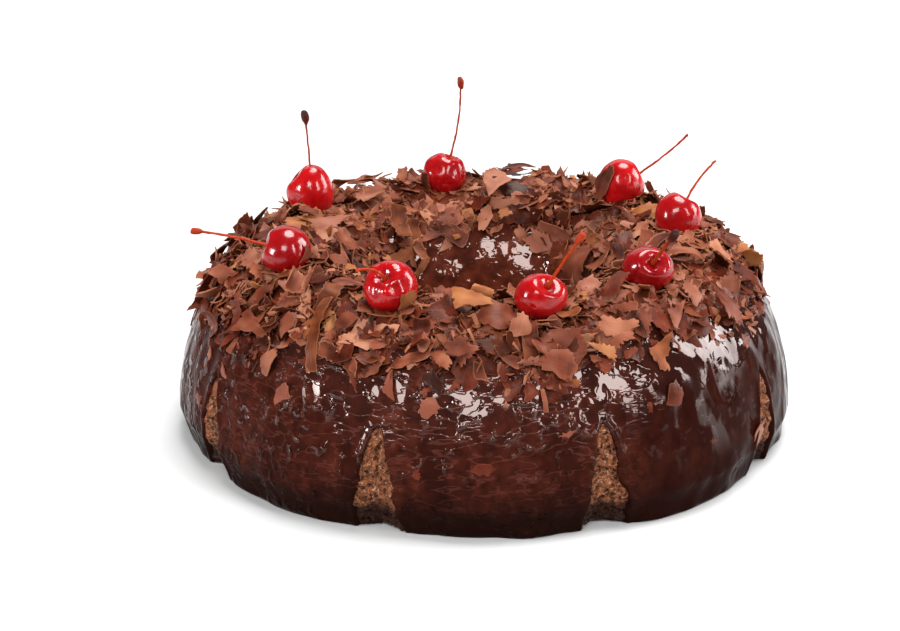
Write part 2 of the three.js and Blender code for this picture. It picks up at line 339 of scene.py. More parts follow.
# %% Points on the uneven ring
def swollen(angle, radius, height):
    """The section point moved by the ring's unevenness, as the solid's points are."""
    swell = swell_at(angle, height)
    outwards = np.clip((radius - RIDGE_RADIUS) / (CAKE_RADIUS - RIDGE_RADIUS), -1, 1)
    upwards = np.sqrt(1 - outwards * outwards) * np.minimum(1, height / WAIST_HEIGHT)
    return radius + swell * outwards, height + swell * upwards


def turned(angle, radius, height):
    """Points in mm from angles, distances from the axis and heights."""
    height = np.broadcast_to(height, np.shape(radius))
    return np.stack([radius * np.sin(angle), -radius * np.cos(angle), height], -1)


# %% Grids on the ring
def groove_offset(angle):
    """The angle to the nearest groove's middle."""
    return (angle - GROOVE_START + GROOVE_PITCH / 2) % GROOVE_PITCH - GROOVE_PITCH / 2


def ring_columns(fine, coarse):
    """Angles round the ring, closer together at the grooves. Spacings are in mm at the wall."""
    near = 0.6 * GROOVE_WIDTH / CAKE_RADIUS
    fine_part = np.arange(-near, near, fine / CAKE_RADIUS)
    coarse_count = round((GROOVE_PITCH - 2 * near) * CAKE_RADIUS / coarse)
    coarse_part = np.linspace(near, GROOVE_PITCH - near, coarse_count, endpoint=False)
    one_lobe = np.concatenate([fine_part, coarse_part])
    return np.concatenate([GROOVE_START + lobe * GROOVE_PITCH + one_lobe for lobe in range(GROOVE_COUNT)])


def straight_rows(start, end, count):
    """Rows of a straight part of the section, its end left out, with their outward normal."""
    share = np.arange(count)[:, None] / count
    points = np.array(start) * (1 - share) + np.array(end) * share
    along = np.subtract(end, start) / np.hypot(*np.subtract(end, start))
    normal = np.array([along[1], -along[0]])
    return np.concatenate([points, np.broadcast_to(normal, points.shape)], 1)


def ring_rows(foot, wall, top, throat, hole):
    """The closed section as rows from the foot up, over the ridge, down the hole and under."""
    leans = np.radians(np.concatenate([
        np.linspace(90, 50, wall, endpoint=False),
        np.linspace(50, -35, top, endpoint=False),
        np.linspace(-35, -90, throat),
    ]))
    rounded = np.stack(section_at(leans), -1)
    outer_foot = straight_rows((FOOT_RADIUS, 0), (CAKE_RADIUS, WAIST_HEIGHT), foot)
    hole_wall = straight_rows((THROAT_RADIUS, THROAT_HEIGHT), (HOLE_RADIUS, 0), hole + 1)[1:]
    return np.concatenate([outer_foot, rounded, hole_wall])


def ring_grid(rows, columns):
    """Angle, swollen radius, swollen height and normal of every grid point, as flat arrays."""
    radius, height, outward, upward = (np.repeat(part, len(columns)) for part in rows.T)
    angle = np.tile(columns, len(rows))
    radius, height = swollen(angle, radius, height)
    return angle, radius, height, outward, upward


# %% [markdown]
# ## Sponge
# The cake itself is a coarse crumb, with painted shade in its pores and pale specks painted on as glints
# of wet light. It shows in nine pointed grooves that the ridges of the tin left, and its foot has soaked
# dark.
# A bumped surface alone would look like sandpaper here, so the pores are real pits in a mesh that is fine at
# the grooves.

# %% Shape of the grooves and the bare sponge
GLAZE_THICKNESS = 1.2
GROOVE_ROUNDING = 0.7
TOOTH_HALF = 8.6
TOOTH_TOP = 39.5
TOOTH_ROUNDING = 0.55
FAR_FROM_GROOVES = 99.0


def groove_cut(angle, height):
    """How deep the groove goes into the wall at a place."""
    share = np.clip(1 - height / GROOVE_TOP, 0, 1)
    half = np.maximum(GROOVE_WIDTH / 2 * share**GROOVE_ROUNDING, 0.01)
    across = np.clip(groove_offset(angle) * CAKE_RADIUS / half, -1, 1)
    return GROOVE_DEPTH * share * np.cos(across * math.pi / 2)


def tooth_edge(angle, radius, height):
    """Distance in mm outside the ragged edge of the bare sponge, below zero inside it."""
    place = turned(angle, radius, height)
    ragged = 1.5 * waviness(place, 7, 11) + 0.9 * waviness(place, 2.5, 12)
    share = np.clip(1 - height / TOOTH_TOP, 0, 1)
    half = TOOTH_HALF * share**TOOTH_ROUNDING + ragged * np.minimum(1, 3 * share)
    sideways = np.abs(groove_offset(angle)) * CAKE_RADIUS - half
    above = 0.5 * (height - TOOTH_TOP)
    return np.where(radius > RIDGE_RADIUS, np.maximum(sideways, above), FAR_FROM_GROOVES)


# %% Sponge finish
def wander(place, size):
    """A place moved softly at random by about half the size, which breaks up even patterns."""
    finish = place.finish
    sockets = {"Vector": place, "Scale": 1 / size, "Detail": 2.0}
    noise = finish.node("ShaderNodeTexNoise", {}, sockets, output="Color")
    shift = finish.node("ShaderNodeVectorMath", {"operation": "SCALE"}, {0: noise, "Scale": size})
    return finish.node("ShaderNodeVectorMath", {"operation": "ADD"}, {0: place, 1: shift})


def sponge_finish():
    finish = Finish("moist_sponge")
    place = millimetres(finish)
    wandering = wander(place, 3)
    crumb = clouds(wandering, 1.5, detail=5, roughness=0.7)
    patches = clouds(place, 6)
    pores = curve(cells(wandering, 2.1), (0.15, 0.0), (0.48, 1.0))
    height = along_axis(place, "Z")
    soaked = falling(height + 6 * patches, 14.5, 11)
    crust = curve(crumb, (0.36, 0.0), (0.66, 1.0))
    tan = blend(crust, (56, 28, 18), (158, 96, 62))
    # Painted highlight: pale specks painted where the wet crumb would glint.
    painted_glints = curve(clouds(wandering, 0.8), (0.58, 0.0), (0.66, 0.6))
    # Painted shade: the pores are painted dark brown, as the shade inside the holes.
    pore_shaded = blend(pores, (44, 21, 14), blend(painted_glints, tan, (206, 166, 142)))
    colour = blend(soaked * 0.95, pore_shaded, (38, 18, 13))
    wet = curve(clouds(place, 3.5), (0.42, 0.2), (0.6, 0.75))
    bump = relief(crumb + 0.8 * pores, 0.9)
    sockets = {
        "Base Color": colour,
        "Roughness": wet * (1 - 0.6 * soaked),
        "Normal": bump,
        "Specular IOR Level": 0.12,
        "Specular Tint": (1.0, 0.8, 0.68, 1.0),
    }
    return close_finish(finish, sockets)


# %% Sponge ring
PORE_DEPTH = 3.6


def make_sponge():
    """The whole ring, set in under the glaze, with pits and lumps where it is bare."""
    columns = ring_columns(0.6, 5)
    rows = ring_rows(foot=22, wall=72, top=8, throat=6, hole=3)
    angle, radius, height, outward, upward = ring_grid(rows, columns)
    inset = GLAZE_THICKNESS + 0.8 * groove_cut(angle, height)
    bare = smooth_step(2.0, -1.5, tooth_edge(angle, radius, height))
    place = turned(angle, radius, height)
    pores = np.clip(0.25 - np.abs(waviness(place, 1.7, 21) + 0.5 * waviness(place, 0.9, 22)), 0, 1)
    lumps = 0.6 * waviness(place, 3.2, 23) + 0.45 * waviness(place, 1.4, 24)
    inset = inset + bare * (PORE_DEPTH * pores - lumps - GLAZE_THICKNESS)
    points = turned(angle, radius - inset * outward, np.maximum(height - inset * upward, 0.0))
    faces = closed_grid(len(rows), len(columns))
    add_piece("sponge", points, faces, sponge_finish(), replaced=["cake"])


make_sponge()

# %% [markdown]
# ## Glaze
# Chocolate glaze was poured over the ridge and ran down in broad sheets. It is thick and smooth on the
# shoulders, thin enough lower down for the crumb to print through, and it ends in a rounded lip round each
# groove and in a ragged skirt at the foot. It is one closed skin that dips under the sponge in the grooves.

# %% Glaze finish
def glaze_finish():
    finish = Finish("poured_glaze")
    place = millimetres(finish)
    height, rightward = along_axis(place, "Z"), along_axis(place, "X")
    flat_place = stretched(place, 1, 1, 0)
    reach = finish.node("ShaderNodeVectorMath", {"operation": "LENGTH"}, {0: flat_place}, output="Value")
    runs = clouds(stretched(place, 1, 1, 0.3), 14)
    mottled = clouds(place, 5, detail=4)
    lumpy = clouds(place, 4.5, detail=1)
    wrinkled = clouds(stretched(place, 0.6, 0.6, 2.0), 8, detail=2)
    wrinkles = curve(wrinkled, (0.46, 0.0), (0.49, 1.0), (0.52, 0.0))
    low = falling(height + 10 * mottled, 30, 10)
    inner = falling(reach, 66, 52)
    right, left = falling(rightward, 35, 70), falling(rightward, -45, -80)

    # Colour: mottled where it is thin, dark where it ran thick, with painted shade on the right and low
    # down, pale lines painted as reflections along the creases, and painted light under the bed and in the
    # throat
    thin = blend(curve(mottled, (0.3, 0.0), (0.7, 1.0)), (38, 15, 11), (76, 33, 23))
    sheet = blend(curve(runs, (0.35, 0.0), (0.7, 1.0)), thin, (36, 13, 9))
    # Painted shade: darker glaze low down, where the wall gets less light.
    outer = blend(low * 0.9, sheet, (23, 10, 7))
    # Painted reflection: pale mauve lines along the creases, in place of a soft box mirrored in ripples.
    reflection_lined = blend(wrinkles * 0.3 * (1 - low) * (1 - right), outer, (104, 58, 50))
    # Painted shade: the right side is painted darker, as if turned from the lamps.
    shaded = blend(0.7 * right, reflection_lined, (30, 10, 7))
    # Painted light: the glaze under the bed is painted paler, so that the gaps between flakes look lit.
    gap_lit = blend(0.8 * falling(height, 62, 70), shaded, (104, 44, 28))
    # Painted light: the throat is painted paler, in place of light that the ridge keeps off the hole wall.
    throat = blend(curve(mottled, (0.35, 0.0), (0.65, 1.0)), (62, 25, 16), (98, 43, 28))
    colour = blend(inner, gap_lit, throat)

    # Relief: crumb that prints through, creases and slow ripples, smoother in the throat and on the right
    smooth = finish.node("ShaderNodeMath", {"operation": "MAXIMUM"}, {0: 0.75 * inner, 1: 0.9 * right})
    bubbly = curve(clouds(place, 30, detail=1), (0.36, 0.15), (0.55, 1.0)) * (1 - smooth)
    lumps = curve(lumpy, (0.54, 0.0), (0.7, 1.0))
    pits = curve(cells(place, 6.0), (0.03, 0.0), (0.16, 1.0))
    creases = 0.06 * wrinkles * (1 - smooth)
    ripples = clouds(stretched(place, 1, 1, 0.6), 12, detail=1)
    bump = relief(bubbly * (0.9 * lumps + 0.15 * pits) + creases + 1.9 * ripples, 1.1)

    # Shine: wet shoulders, drops and streaks below them, and soaked glaze that hardly shines
    streaks = curve(clouds(stretched(place, 1, 1, 0.45), 9, detail=2), (0.53, 0.0), (0.6, 1.0))
    gloss = curve(mottled, (0.35, 0.03), (0.75, 0.09)) + 0.13 * right * streaks * falling(height, 54, 44)
    drops = curve(lumpy, (0.6, 0.0), (0.64, 0.65)) * falling(height, 20, 30) * (1 - 0.7 * right)
    middle_right = right * falling(rightward, 104, 84)
    wet_spots = drops + 0.65 * middle_right * streaks * falling(height, 16, 28)
    under_flakes = falling(height, 60, 68)
    dull = falling(height + 14 * runs - 10 * right - 18 * left, 56, 36) * (1 - wet_spots) + under_flakes
    tint = (1.0, 0.82, 0.77, 1.0)
    shared = {"Base Color": colour, "Roughness": gloss, "Normal": bump, "Specular Tint": tint}
    glossy, soaked = (
        finish.node("ShaderNodeBsdfPrincipled", {}, {**shared, "Specular IOR Level": level})
        for level in (0.5, 0.012)
    )
    surface = finish.node("ShaderNodeMixShader", {}, {0: dull, 1: glossy, 2: soaked})
    return close_finish(finish, surface=surface)


# %% Glaze skin
LIP_HEIGHT = 0.7
SKIRT_REACH = 1.6
TUCK_DEPTH = 4.0


def make_glaze():
    """A closed skin over the ring with runs, a lip at each groove and a skirt at the foot."""
    columns = ring_columns(0.5, 1.5)
    rows = ring_rows(foot=10, wall=42, top=10, throat=24, hole=8)
    angle, radius, height, outward, upward = ring_grid(rows, columns)
    place = turned(angle, radius, height)
    runs = 0.6 * waviness(place * (1, 1, 0.3), 12, 31) + 0.4 * waviness(place, 24, 32)
    ripples = 0.25 * waviness(place, 6, 33)
    edge = tooth_edge(angle, radius, height)
    lip = LIP_HEIGHT * hump(edge, 1.3, 1.4) * smooth_step(TOOTH_TOP + 6, TOOTH_TOP - 4, height)
    reach = np.clip(0.4 + 1.2 * waviness(place * (1, 1, 0), 14, 35), 0, 1.6)
    skirt = SKIRT_REACH * reach * smooth_step(7, 0.5, height) * smooth_step(-1, 6, edge)
    cut = groove_cut(angle, height)
    stand = runs + ripples + lip + skirt - cut
    sunk = -cut - TUCK_DEPTH
    stand = stand + (sunk - stand) * smooth_step(0.4, -1.2, edge)
    points = turned(angle, radius + stand * outward, np.maximum(height + stand * upward, 0.0))
    points[: len(columns), 2] = 0.0
    faces = closed_grid(len(rows), len(columns))
    add_piece("glaze", points, faces, glaze_finish(), replaced=["cake"])


make_glaze()

# %% [markdown]
# ## Where the cherries sit
# The cherries are placed before the chocolate, because the flakes fall round them. Each has an angle, a
# distance from the axis, a radius and the direction in which its stem leaves, as in the solids. The other
# numbers say how much painted shade darkens it and how tall, dimpled, pleated and dented it is, so that no
# two cherries look alike.

# %% Cherries and their places
CHERRY_SINK = 3.2
CHERRIES = [
    dict(
        ripe=0.1, angle=-122, reach=82, radius=9.8, tall=1.15, plump=90,
        dimple=0.1, ring=0, pleats=0, wrinkles=0.2,
        dents=[
            ((-0.72, -0.05, 0.7), 0.12, 0.3), ((-0.95, -0.2, 0.1), -0.08, 0.4),
            ((0.3, -0.1, 0.95), -0.09, 0.45),
        ],
        towards=(-0.02, 0.05, 1.0), length=25, sway=(-0.6, 0.4), knob=1.7, stalk=0.42, bark=1.0,
    ),
    dict(
        ripe=0.7, angle=-67, reach=81, radius=9.6, tall=1.0, plump=40,
        dimple=0.3, ring=0, pleats=0.2, wrinkles=0.4,
        dents=[((0.75, -0.55, 0.35), 0.05, 0.4)],
        towards=(-0.94, -0.05, 0.34), length=28, sway=(-1.6, 0), knob=1.3, stalk=0.55, bark=0.25,
    ),
    dict(
        ripe=0.3, angle=-168, reach=75, radius=9.2, tall=1.0, plump=15,
        dimple=0.25, ring=0, pleats=0.7, wrinkles=1.3,
        dents=[((-0.3, -0.8, 0.5), 0.05, 0.25), ((0.4, -0.85, 0.3), 0.06, 0.25)],
        towards=(0.32, 0.05, 0.95), length=33, sway=(-2.9, 0), knob=1.5, stalk=0.42, bark=0.5,
    ),
    dict(
        ripe=0.1, angle=132, reach=78, radius=9.9, tall=1.06, plump=20,
        dimple=0.25, ring=0, pleats=0.1, wrinkles=0.3,
        dents=[((0.05, -0.85, 0.5), 0.04, 0.16)],
        towards=(0.85, 0.2, 0.48), length=28, sway=(-1.6, 0), knob=0, stalk=0.5, bark=0.3,
    ),
    dict(
        ripe=0.4, angle=97, reach=78, radius=9.0, tall=1.1, plump=0,
        dimple=0.3, ring=0.4, pleats=0.2, wrinkles=0.4,
        dents=[((0.0, -0.97, 0.2), 0.05, 0.35)],
        towards=(0.42, 0.3, 0.86), length=21, sway=(2.6, 2.6), knob=0, stalk=0.5, bark=0.35,
    ),
    dict(
        ripe=0.75, angle=48, reach=80, radius=9.4, tall=0.92, plump=0,
        dimple=0.36, ring=1.0, pleats=0.2, wrinkles=0.3,
        dents=[((0.0, -1.0, -0.1), 0.04, 0.4)],
        towards=(0.2, -0.75, 0.62), length=22, sway=(0.5, 1.0), knob=1.8, stalk=0.8, bark=1.0,
    ),
    dict(
        ripe=0.4, angle=13, reach=83.5, radius=9.3, tall=0.92, plump=10,
        dimple=0.36, ring=1.0, pleats=0, wrinkles=0.15,
        dents=[],
        towards=(0.36, -0.45, 0.8), length=27, sway=(0.3, 0), knob=1.5, stalk=0.6, bark=0.2,
    ),
    dict(
        ripe=0.35, angle=-25, reach=81.5, radius=10.0, tall=0.97, plump=60,
        dimple=0.36, ring=0, pleats=1.0, wrinkles=1.6,
        dents=[
            ((-0.5, -0.8, 0.1), 0.06, 0.25), ((0.2, -0.9, 0.3), 0.08, 0.22),
            ((0.6, -0.7, 0.4), 0.06, 0.22),
        ],
        towards=(-0.3, -0.6, 0.74), length=18, sway=(-2.2, -3.2), knob=0, stalk=0.6, bark=0.1,
    ),
]


def seat_of(cherry):
    """The seat on the ring and the middle of a cherry, in mm."""
    across, _ = ring_half(cherry["reach"] >= RIDGE_RADIUS)
    lean = np.arcsin((cherry["reach"] - RIDGE_RADIUS) / across)
    angle = math.radians(cherry["angle"])
    radius, height, outward, upward = section_at(lean)
    lift = cherry["radius"] - CHERRY_SINK
    return turned(angle, radius, height), turned(angle, radius + lift * outward, height + lift * upward)


seats = [seat_of(cherry) for cherry in CHERRIES]
print("cherries:", len(seats))

# %% [markdown]
# ## Shaved chocolate
# Shavings from a block are thin, torn plates, some nearly flat and some curled. Scattering them at random
# heights would leave them floating or buried, so each one is dropped: a height field over the ring keeps
# the top of the bed, a flake tries a few places, and the lowest lie is kept, as a real one would settle.

# %% The bed that the flakes fall on
BED_ANGLES = 900
BED_LEANS = 200
LEAN_LIMIT = math.radians(100)
OBSTACLE = 60.0
bed_angle, bed_lean = np.meshgrid(
    (np.arange(BED_ANGLES) + 0.5) * TURN / BED_ANGLES,
    ((np.arange(BED_LEANS) + 0.5) / BED_LEANS * 2 - 1) * LEAN_LIMIT,
    indexing="ij",
)
bed_radius, bed_height, bed_outward, bed_upward = section_at(bed_lean)
even = turned(bed_angle, bed_radius, bed_height)
uneven = turned(bed_angle, *swollen(bed_angle, bed_radius, np.maximum(bed_height, 0)))
bed_normal = turned(bed_angle, bed_outward, bed_upward)
bed = ((uneven - even) * bed_normal).sum(-1)
ground = bed.copy()
for cherry, (seat, _) in zip(CHERRIES, seats):
    close = np.linalg.norm(even - seat, axis=-1) < 0.5 * cherry["radius"]
    bed[close] = OBSTACLE


def bed_cells(points):
    """The bed's cells under points, and the points' heights over the even ring."""
    radius = np.hypot(points[..., 0], points[..., 1])
    across, low = ring_half(radius >= RIDGE_RADIUS)
    outward, upward = (radius - RIDGE_RADIUS) / across, (points[..., 2] - low) / (CAKE_HEIGHT - low)
    spread = np.maximum(np.hypot(outward, upward), 0.05)
    slope = np.hypot(outward / across, upward / (CAKE_HEIGHT - low)) / spread
    angle = np.arctan2(points[..., 0], -points[..., 1]) % TURN
    lean = np.arctan2(outward, upward)
    column = np.minimum((angle / TURN * BED_ANGLES).astype(int), BED_ANGLES - 1)
    row = np.clip(((lean / LEAN_LIMIT + 1) / 2 * BED_LEANS).astype(int), 0, BED_LEANS - 1)
    return column, row, (spread - 1) / slope


print("bed cells:", bed.size)

# %% Sheets with an edge
SAMPLES = 110


class Plate:
    """How the points of one kind of flake are joined into an upper sheet, a lower sheet and an edge."""

    def __init__(self, sheet_faces, rim):
        sheet_faces = np.array(sheet_faces)
        self.count = sheet_faces.max() + 1
        self.rimness = np.zeros(self.count)
        self.rimness[rim] = 1.0
        beside = np.roll(rim, -1)
        edge = np.concatenate([
            np.stack([rim, rim + self.count, beside + self.count], -1),
            np.stack([rim, beside + self.count, beside], -1),
        ])
        self.faces = np.concatenate([sheet_faces, sheet_faces[:, ::-1] + self.count, edge])
        picked = sheet_faces.repeat(max(1, SAMPLES // len(sheet_faces)), axis=0)
        shares = np.random.default_rng(5).dirichlet((1, 1, 1), len(picked))
        self.sampler = np.zeros((len(picked), self.count))
        for corner in range(3):
            np.add.at(self.sampler, (np.arange(len(picked)), picked[:, corner]), shares[:, corner])


# %% Torn plates
SAW_SHARE = 0.4
SAW_DEPTH = 0.6


class RoundPlate(Plate):
    """A torn plate: a middle point, rings and a rim with some sides sawn by the blade."""

    def __init__(self, rim_points, rings):
        self.rim_points = rim_points
        self.rings = rings
        turn = np.arange(rim_points)
        beside = (turn + 1) % rim_points
        faces = [np.stack([np.zeros_like(turn), 1 + turn, 1 + beside], -1)]
        for ring in range(len(rings)):
            inner, outer = 1 + ring * rim_points, 1 + (ring + 1) * rim_points
            faces.append(np.stack([inner + turn, outer + turn, outer + beside], -1))
            faces.append(np.stack([inner + turn, outer + beside, inner + beside], -1))
        super().__init__(np.concatenate(faces), 1 + len(rings) * rim_points + turn)

    def flat(self, rng, length, width, torn):
        corners = rng.integers(3, 7)
        turn = (np.arange(corners) + rng.uniform(-0.32, 0.32, corners)) * TURN / corners
        reach = rng.uniform(0.7, 1.15, corners)
        corner = np.stack([np.cos(turn) * reach * length / 2, np.sin(turn) * reach * width / 2], -1)
        step = np.arange(self.rim_points) * corners / self.rim_points
        first = np.floor(step).astype(int)
        share = (step - first)[:, None]
        side = corner[first] * (1 - share) + corner[(first + 1) % corners] * share
        side = side * (1 + rng.uniform(-0.16, 0.12, corners)[first][:, None] * np.sin(math.pi * share))
        saw = (rng.random(corners) < SAW_SHARE)[first] * (-1) ** np.arange(self.rim_points)
        teeth = SAW_DEPTH * saw / np.hypot(*side.T) * rng.uniform(0.4, 1, self.rim_points)
        bites = 2.2 * torn * (rng.random(self.rim_points) < 0.08)
        notch = 1 + rng.normal(0, torn / 2, self.rim_points) + teeth - bites
        return np.concatenate([[[0, 0]], *[side * ring for ring in self.rings], side * notch[:, None]])


# %% Ribbons and slivers
class RibbonPlate(Plate):
    """A shaving cut along its length: lanes across, steps along."""

    def __init__(self, steps, lanes):
        self.steps = steps
        self.lanes = lanes
        index = np.arange((steps + 1) * (lanes + 1)).reshape(steps + 1, lanes + 1)
        quads = np.stack([index[:-1, :-1], index[1:, :-1], index[1:, 1:], index[:-1, 1:]], -1).reshape(-1, 4)
        rim = np.concatenate([index[:-1, 0], index[-1, :-1], index[:0:-1, -1], index[0, :0:-1]])
        super().__init__(np.concatenate([quads[:, :3], quads[:, [0, 2, 3]]]), rim)

    def flat(self, rng, length, width, torn):
        along, across = np.meshgrid(
            np.linspace(-0.5, 0.5, self.steps + 1),
            np.linspace(-0.5, 0.5, self.lanes + 1),
            indexing="ij",
        )
        narrowing = 1 - rng.uniform(0, 0.5) * (along + 0.5) ** 2
        frayed = rng.normal(0, torn * width * 0.5, along.shape) * (np.abs(across) > 0.4)
        sideways = across * width * narrowing + frayed
        ends = along * length + rng.normal(0, torn * width, along.shape) * (np.abs(along) > 0.45)
        return np.stack([ends.ravel(), sideways.ravel()], -1)


LARGE = RoundPlate(38, (0.5, 0.87))
MEDIUM = RoundPlate(22, (0.7,))
SMALL = RoundPlate(9, ())
RIBBON = RibbonPlate(16, 3)
SLIVER = RibbonPlate(4, 1)
print("triangles:", [len(plate.faces) for plate in (LARGE, MEDIUM, SMALL, RIBBON, SLIVER)])

# %% Bending a flake
CRUMPLE = 0.35
CRUMPLE_SIZE = 5.0
LEAST_CURL = 0.02


def bent(flat, curl, slant, length, warp, serial):
    """A flat sheet rolled about a slanting line, with its normals. Its length turns by the curl."""
    along = flat @ (math.cos(slant), math.sin(slant))
    across = flat @ (-math.sin(slant), math.cos(slant))
    bend = (curl if abs(curl) > LEAST_CURL else LEAST_CURL) / length
    turn = along * bend
    rolled = np.sin(turn) / bend
    lift = (1 - np.cos(turn)) / bend + warp * along * across / length
    lift += CRUMPLE * waviness(np.stack([along, across, np.full(len(flat), serial)], -1), CRUMPLE_SIZE, 61)
    way = np.array([math.cos(slant), math.sin(slant), 0])
    side = np.array([-math.sin(slant), math.cos(slant), 0])
    sheet = rolled[:, None] * way + across[:, None] * side + lift[:, None] * (0, 0, 1)
    normal = -np.sin(turn)[:, None] * way + np.cos(turn)[:, None] * (0, 0, 1)
    return sheet, normal


# %% Dropping a flake
PRESS = 1.0
SINK = 0.4


def pose(heading, tilt, tilt_line):
    """A turn about the normal, then a tilt about a line in the plane."""
    line = Vector((math.cos(tilt_line), math.sin(tilt_line), 0))
    return np.array(Matrix.Rotation(tilt, 3, line) @ Matrix.Rotation(heading, 3, "Z"))


def local_axes(angle, lean):
    """Round the ring, up the section and outwards at a place, as rows, with the place itself."""
    radius, height, outward, upward = section_at(np.array(lean))
    normal = turned(angle, outward, upward)
    round_ring = np.array([math.cos(angle), math.sin(angle), 0.0])
    return np.stack([round_ring, np.cross(normal, round_ring), normal]), turned(angle, radius, height)


def settle(plate, sheet, turn, places, press):
    """The lowest lie of a posed sheet among some places: its top, points, axes and cells."""
    best = None
    for angle, lean in places:
        axes, origin = local_axes(angle, lean)
        laid = sheet @ turn.T @ axes + origin
        column, row, height = bed_cells(plate.sampler @ laid)
        rise = max((bed[column, row] - height).max() - press, (ground[column, row] - height).max() - SINK)
        top = (height + rise).max()
        if best is None or top < best[0]:
            best = (top, laid + rise * axes[2], axes, (column, row), height + rise)
    return best


# %% Edges of the bed
def ragged_edge(table):
    """An edge of the bed at every column of the height field, as leans in degrees."""
    angles = bed_angle[:, 0]
    turned_to = (np.degrees(angles) + 180) % 360 - 180
    ragged = turned(angles, np.full(BED_ANGLES, 60.0), np.zeros(BED_ANGLES))
    return np.interp(turned_to, *zip(*table)) + 3 * waviness(ragged, 11, 41)


def edge_at(edge, angle):
    """The lean of an edge at an angle round the ring."""
    return edge[int(angle / TURN * BED_ANGLES) % BED_ANGLES]


OUTER_EDGE = ragged_edge([
    (-180, 45), (-120, 47), (-90, 47), (-65, 46), (-51, 44), (-38, 42), (-28, 43), (-18, 40), (-9, 35),
    (-2, 35), (6, 40), (13, 42), (19, 39), (26, 35), (37, 32), (44, 35), (50, 42), (60, 44), (74, 42),
    (100, 45), (180, 45),
])
HOLE_EDGE = ragged_edge([
    (-180, -45), (-165, -47), (-150, -53), (-90, -52), (0, -50), (90, -52), (130, -53), (150, -46),
    (180, -45),
])
print("edges of the bed:", round(OUTER_EDGE.mean()), "and", round(HOLE_EDGE.mean()), "degrees")

# %% Where chocolate falls
def bed_place(rng):
    """A place on the bed, as likely as the area there and the density of the bed."""
    while True:
        angle = rng.uniform(0, TURN)
        lean = rng.uniform(-66, 66)
        edge, inner = edge_at(OUTER_EDGE, angle), edge_at(HOLE_EDGE, angle)
        density = smooth_step(edge + 7, edge - 9, lean) * smooth_step(inner - 8, inner + 8, lean)
        radius = section_at(np.radians(np.array(lean)))[0]
        if rng.uniform() < density * radius / CAKE_RADIUS:
            return angle, math.radians(lean)


def edge_place(rng):
    """A place near the outer edge of the bed, where flakes sank into the glaze."""
    angle = rng.uniform(0, TURN)
    return angle, math.radians(edge_at(OUTER_EDGE, angle) + rng.uniform(-13, 9))


def wall_place(rng):
    """A place on the outer wall below the bed, where single flakes stick to the glaze."""
    angle = rng.uniform(0, TURN)
    return angle, math.radians(rng.uniform(edge_at(OUTER_EDGE, angle), 80))


def bare_places(rng, count):
    """Places in the bed where no flake has fallen yet."""
    covered = bed - ground > 0.1
    covered = covered | np.roll(covered, 1, 0) | np.roll(covered, -1, 0)
    covered = covered | np.roll(covered, 1, 1) | np.roll(covered, -1, 1)
    inside = bed_lean > np.radians(HOLE_EDGE + 8)[:, None]
    inside &= bed_lean < np.radians(OUTER_EDGE - 5)[:, None]
    column, row = np.nonzero(inside & ~covered)
    print("bare cells:", len(column))
    picked = rng.integers(len(column), size=count)
    return list(zip(bed_angle[column, row][picked], bed_lean[column, row][picked]))


# %% Wetness and room for a flake
DAMP_SPREAD = 0.22
SOAKED_ANGLE = math.radians(-62)
SOAKED_REACH = 20
CHERRY_ROOM = 1.35
CHERRY_FOOT = 0.12


def dampness(rng, angle, lean, base):
    """How wet a flake is: wetter at the outer edge, at the left front and in the throat."""
    soaked_side = smooth_step(0.5, 0.9, math.cos(angle - SOAKED_ANGLE))
    edge, lean = edge_at(OUTER_EDGE, angle) - SOAKED_REACH * soaked_side, math.degrees(lean)
    outer, inner = smooth_step(edge - 38, edge - 8, lean), smooth_step(-22, -45, lean)
    return float(np.clip(base + 0.95 * outer + 0.5 * inner + rng.normal(0, DAMP_SPREAD), 0, 1))


def hides_cherry(laid):
    """Whether a flake stands up against a cherry, where it would cross the skin."""
    for cherry, (seat, middle) in zip(CHERRIES, seats):
        away, up = laid - middle, (middle - seat) / np.linalg.norm(middle - seat)
        near = np.linalg.norm(away, axis=1) < CHERRY_ROOM * cherry["radius"]
        if (near & (away @ up > -CHERRY_FOOT * cherry["radius"])).any():
            return True
    return False


# %% Gathering flakes into pieces
BED_TOP = 9.0
SERIALS = 900
TONE_SHIFT = 0.08
# Painted shade and light round the ring: how far tones swing, and where they are darkest.
PAINTED_SHADE_SWING = 0.26
PAINTED_SHADE_ANGLE = -0.8


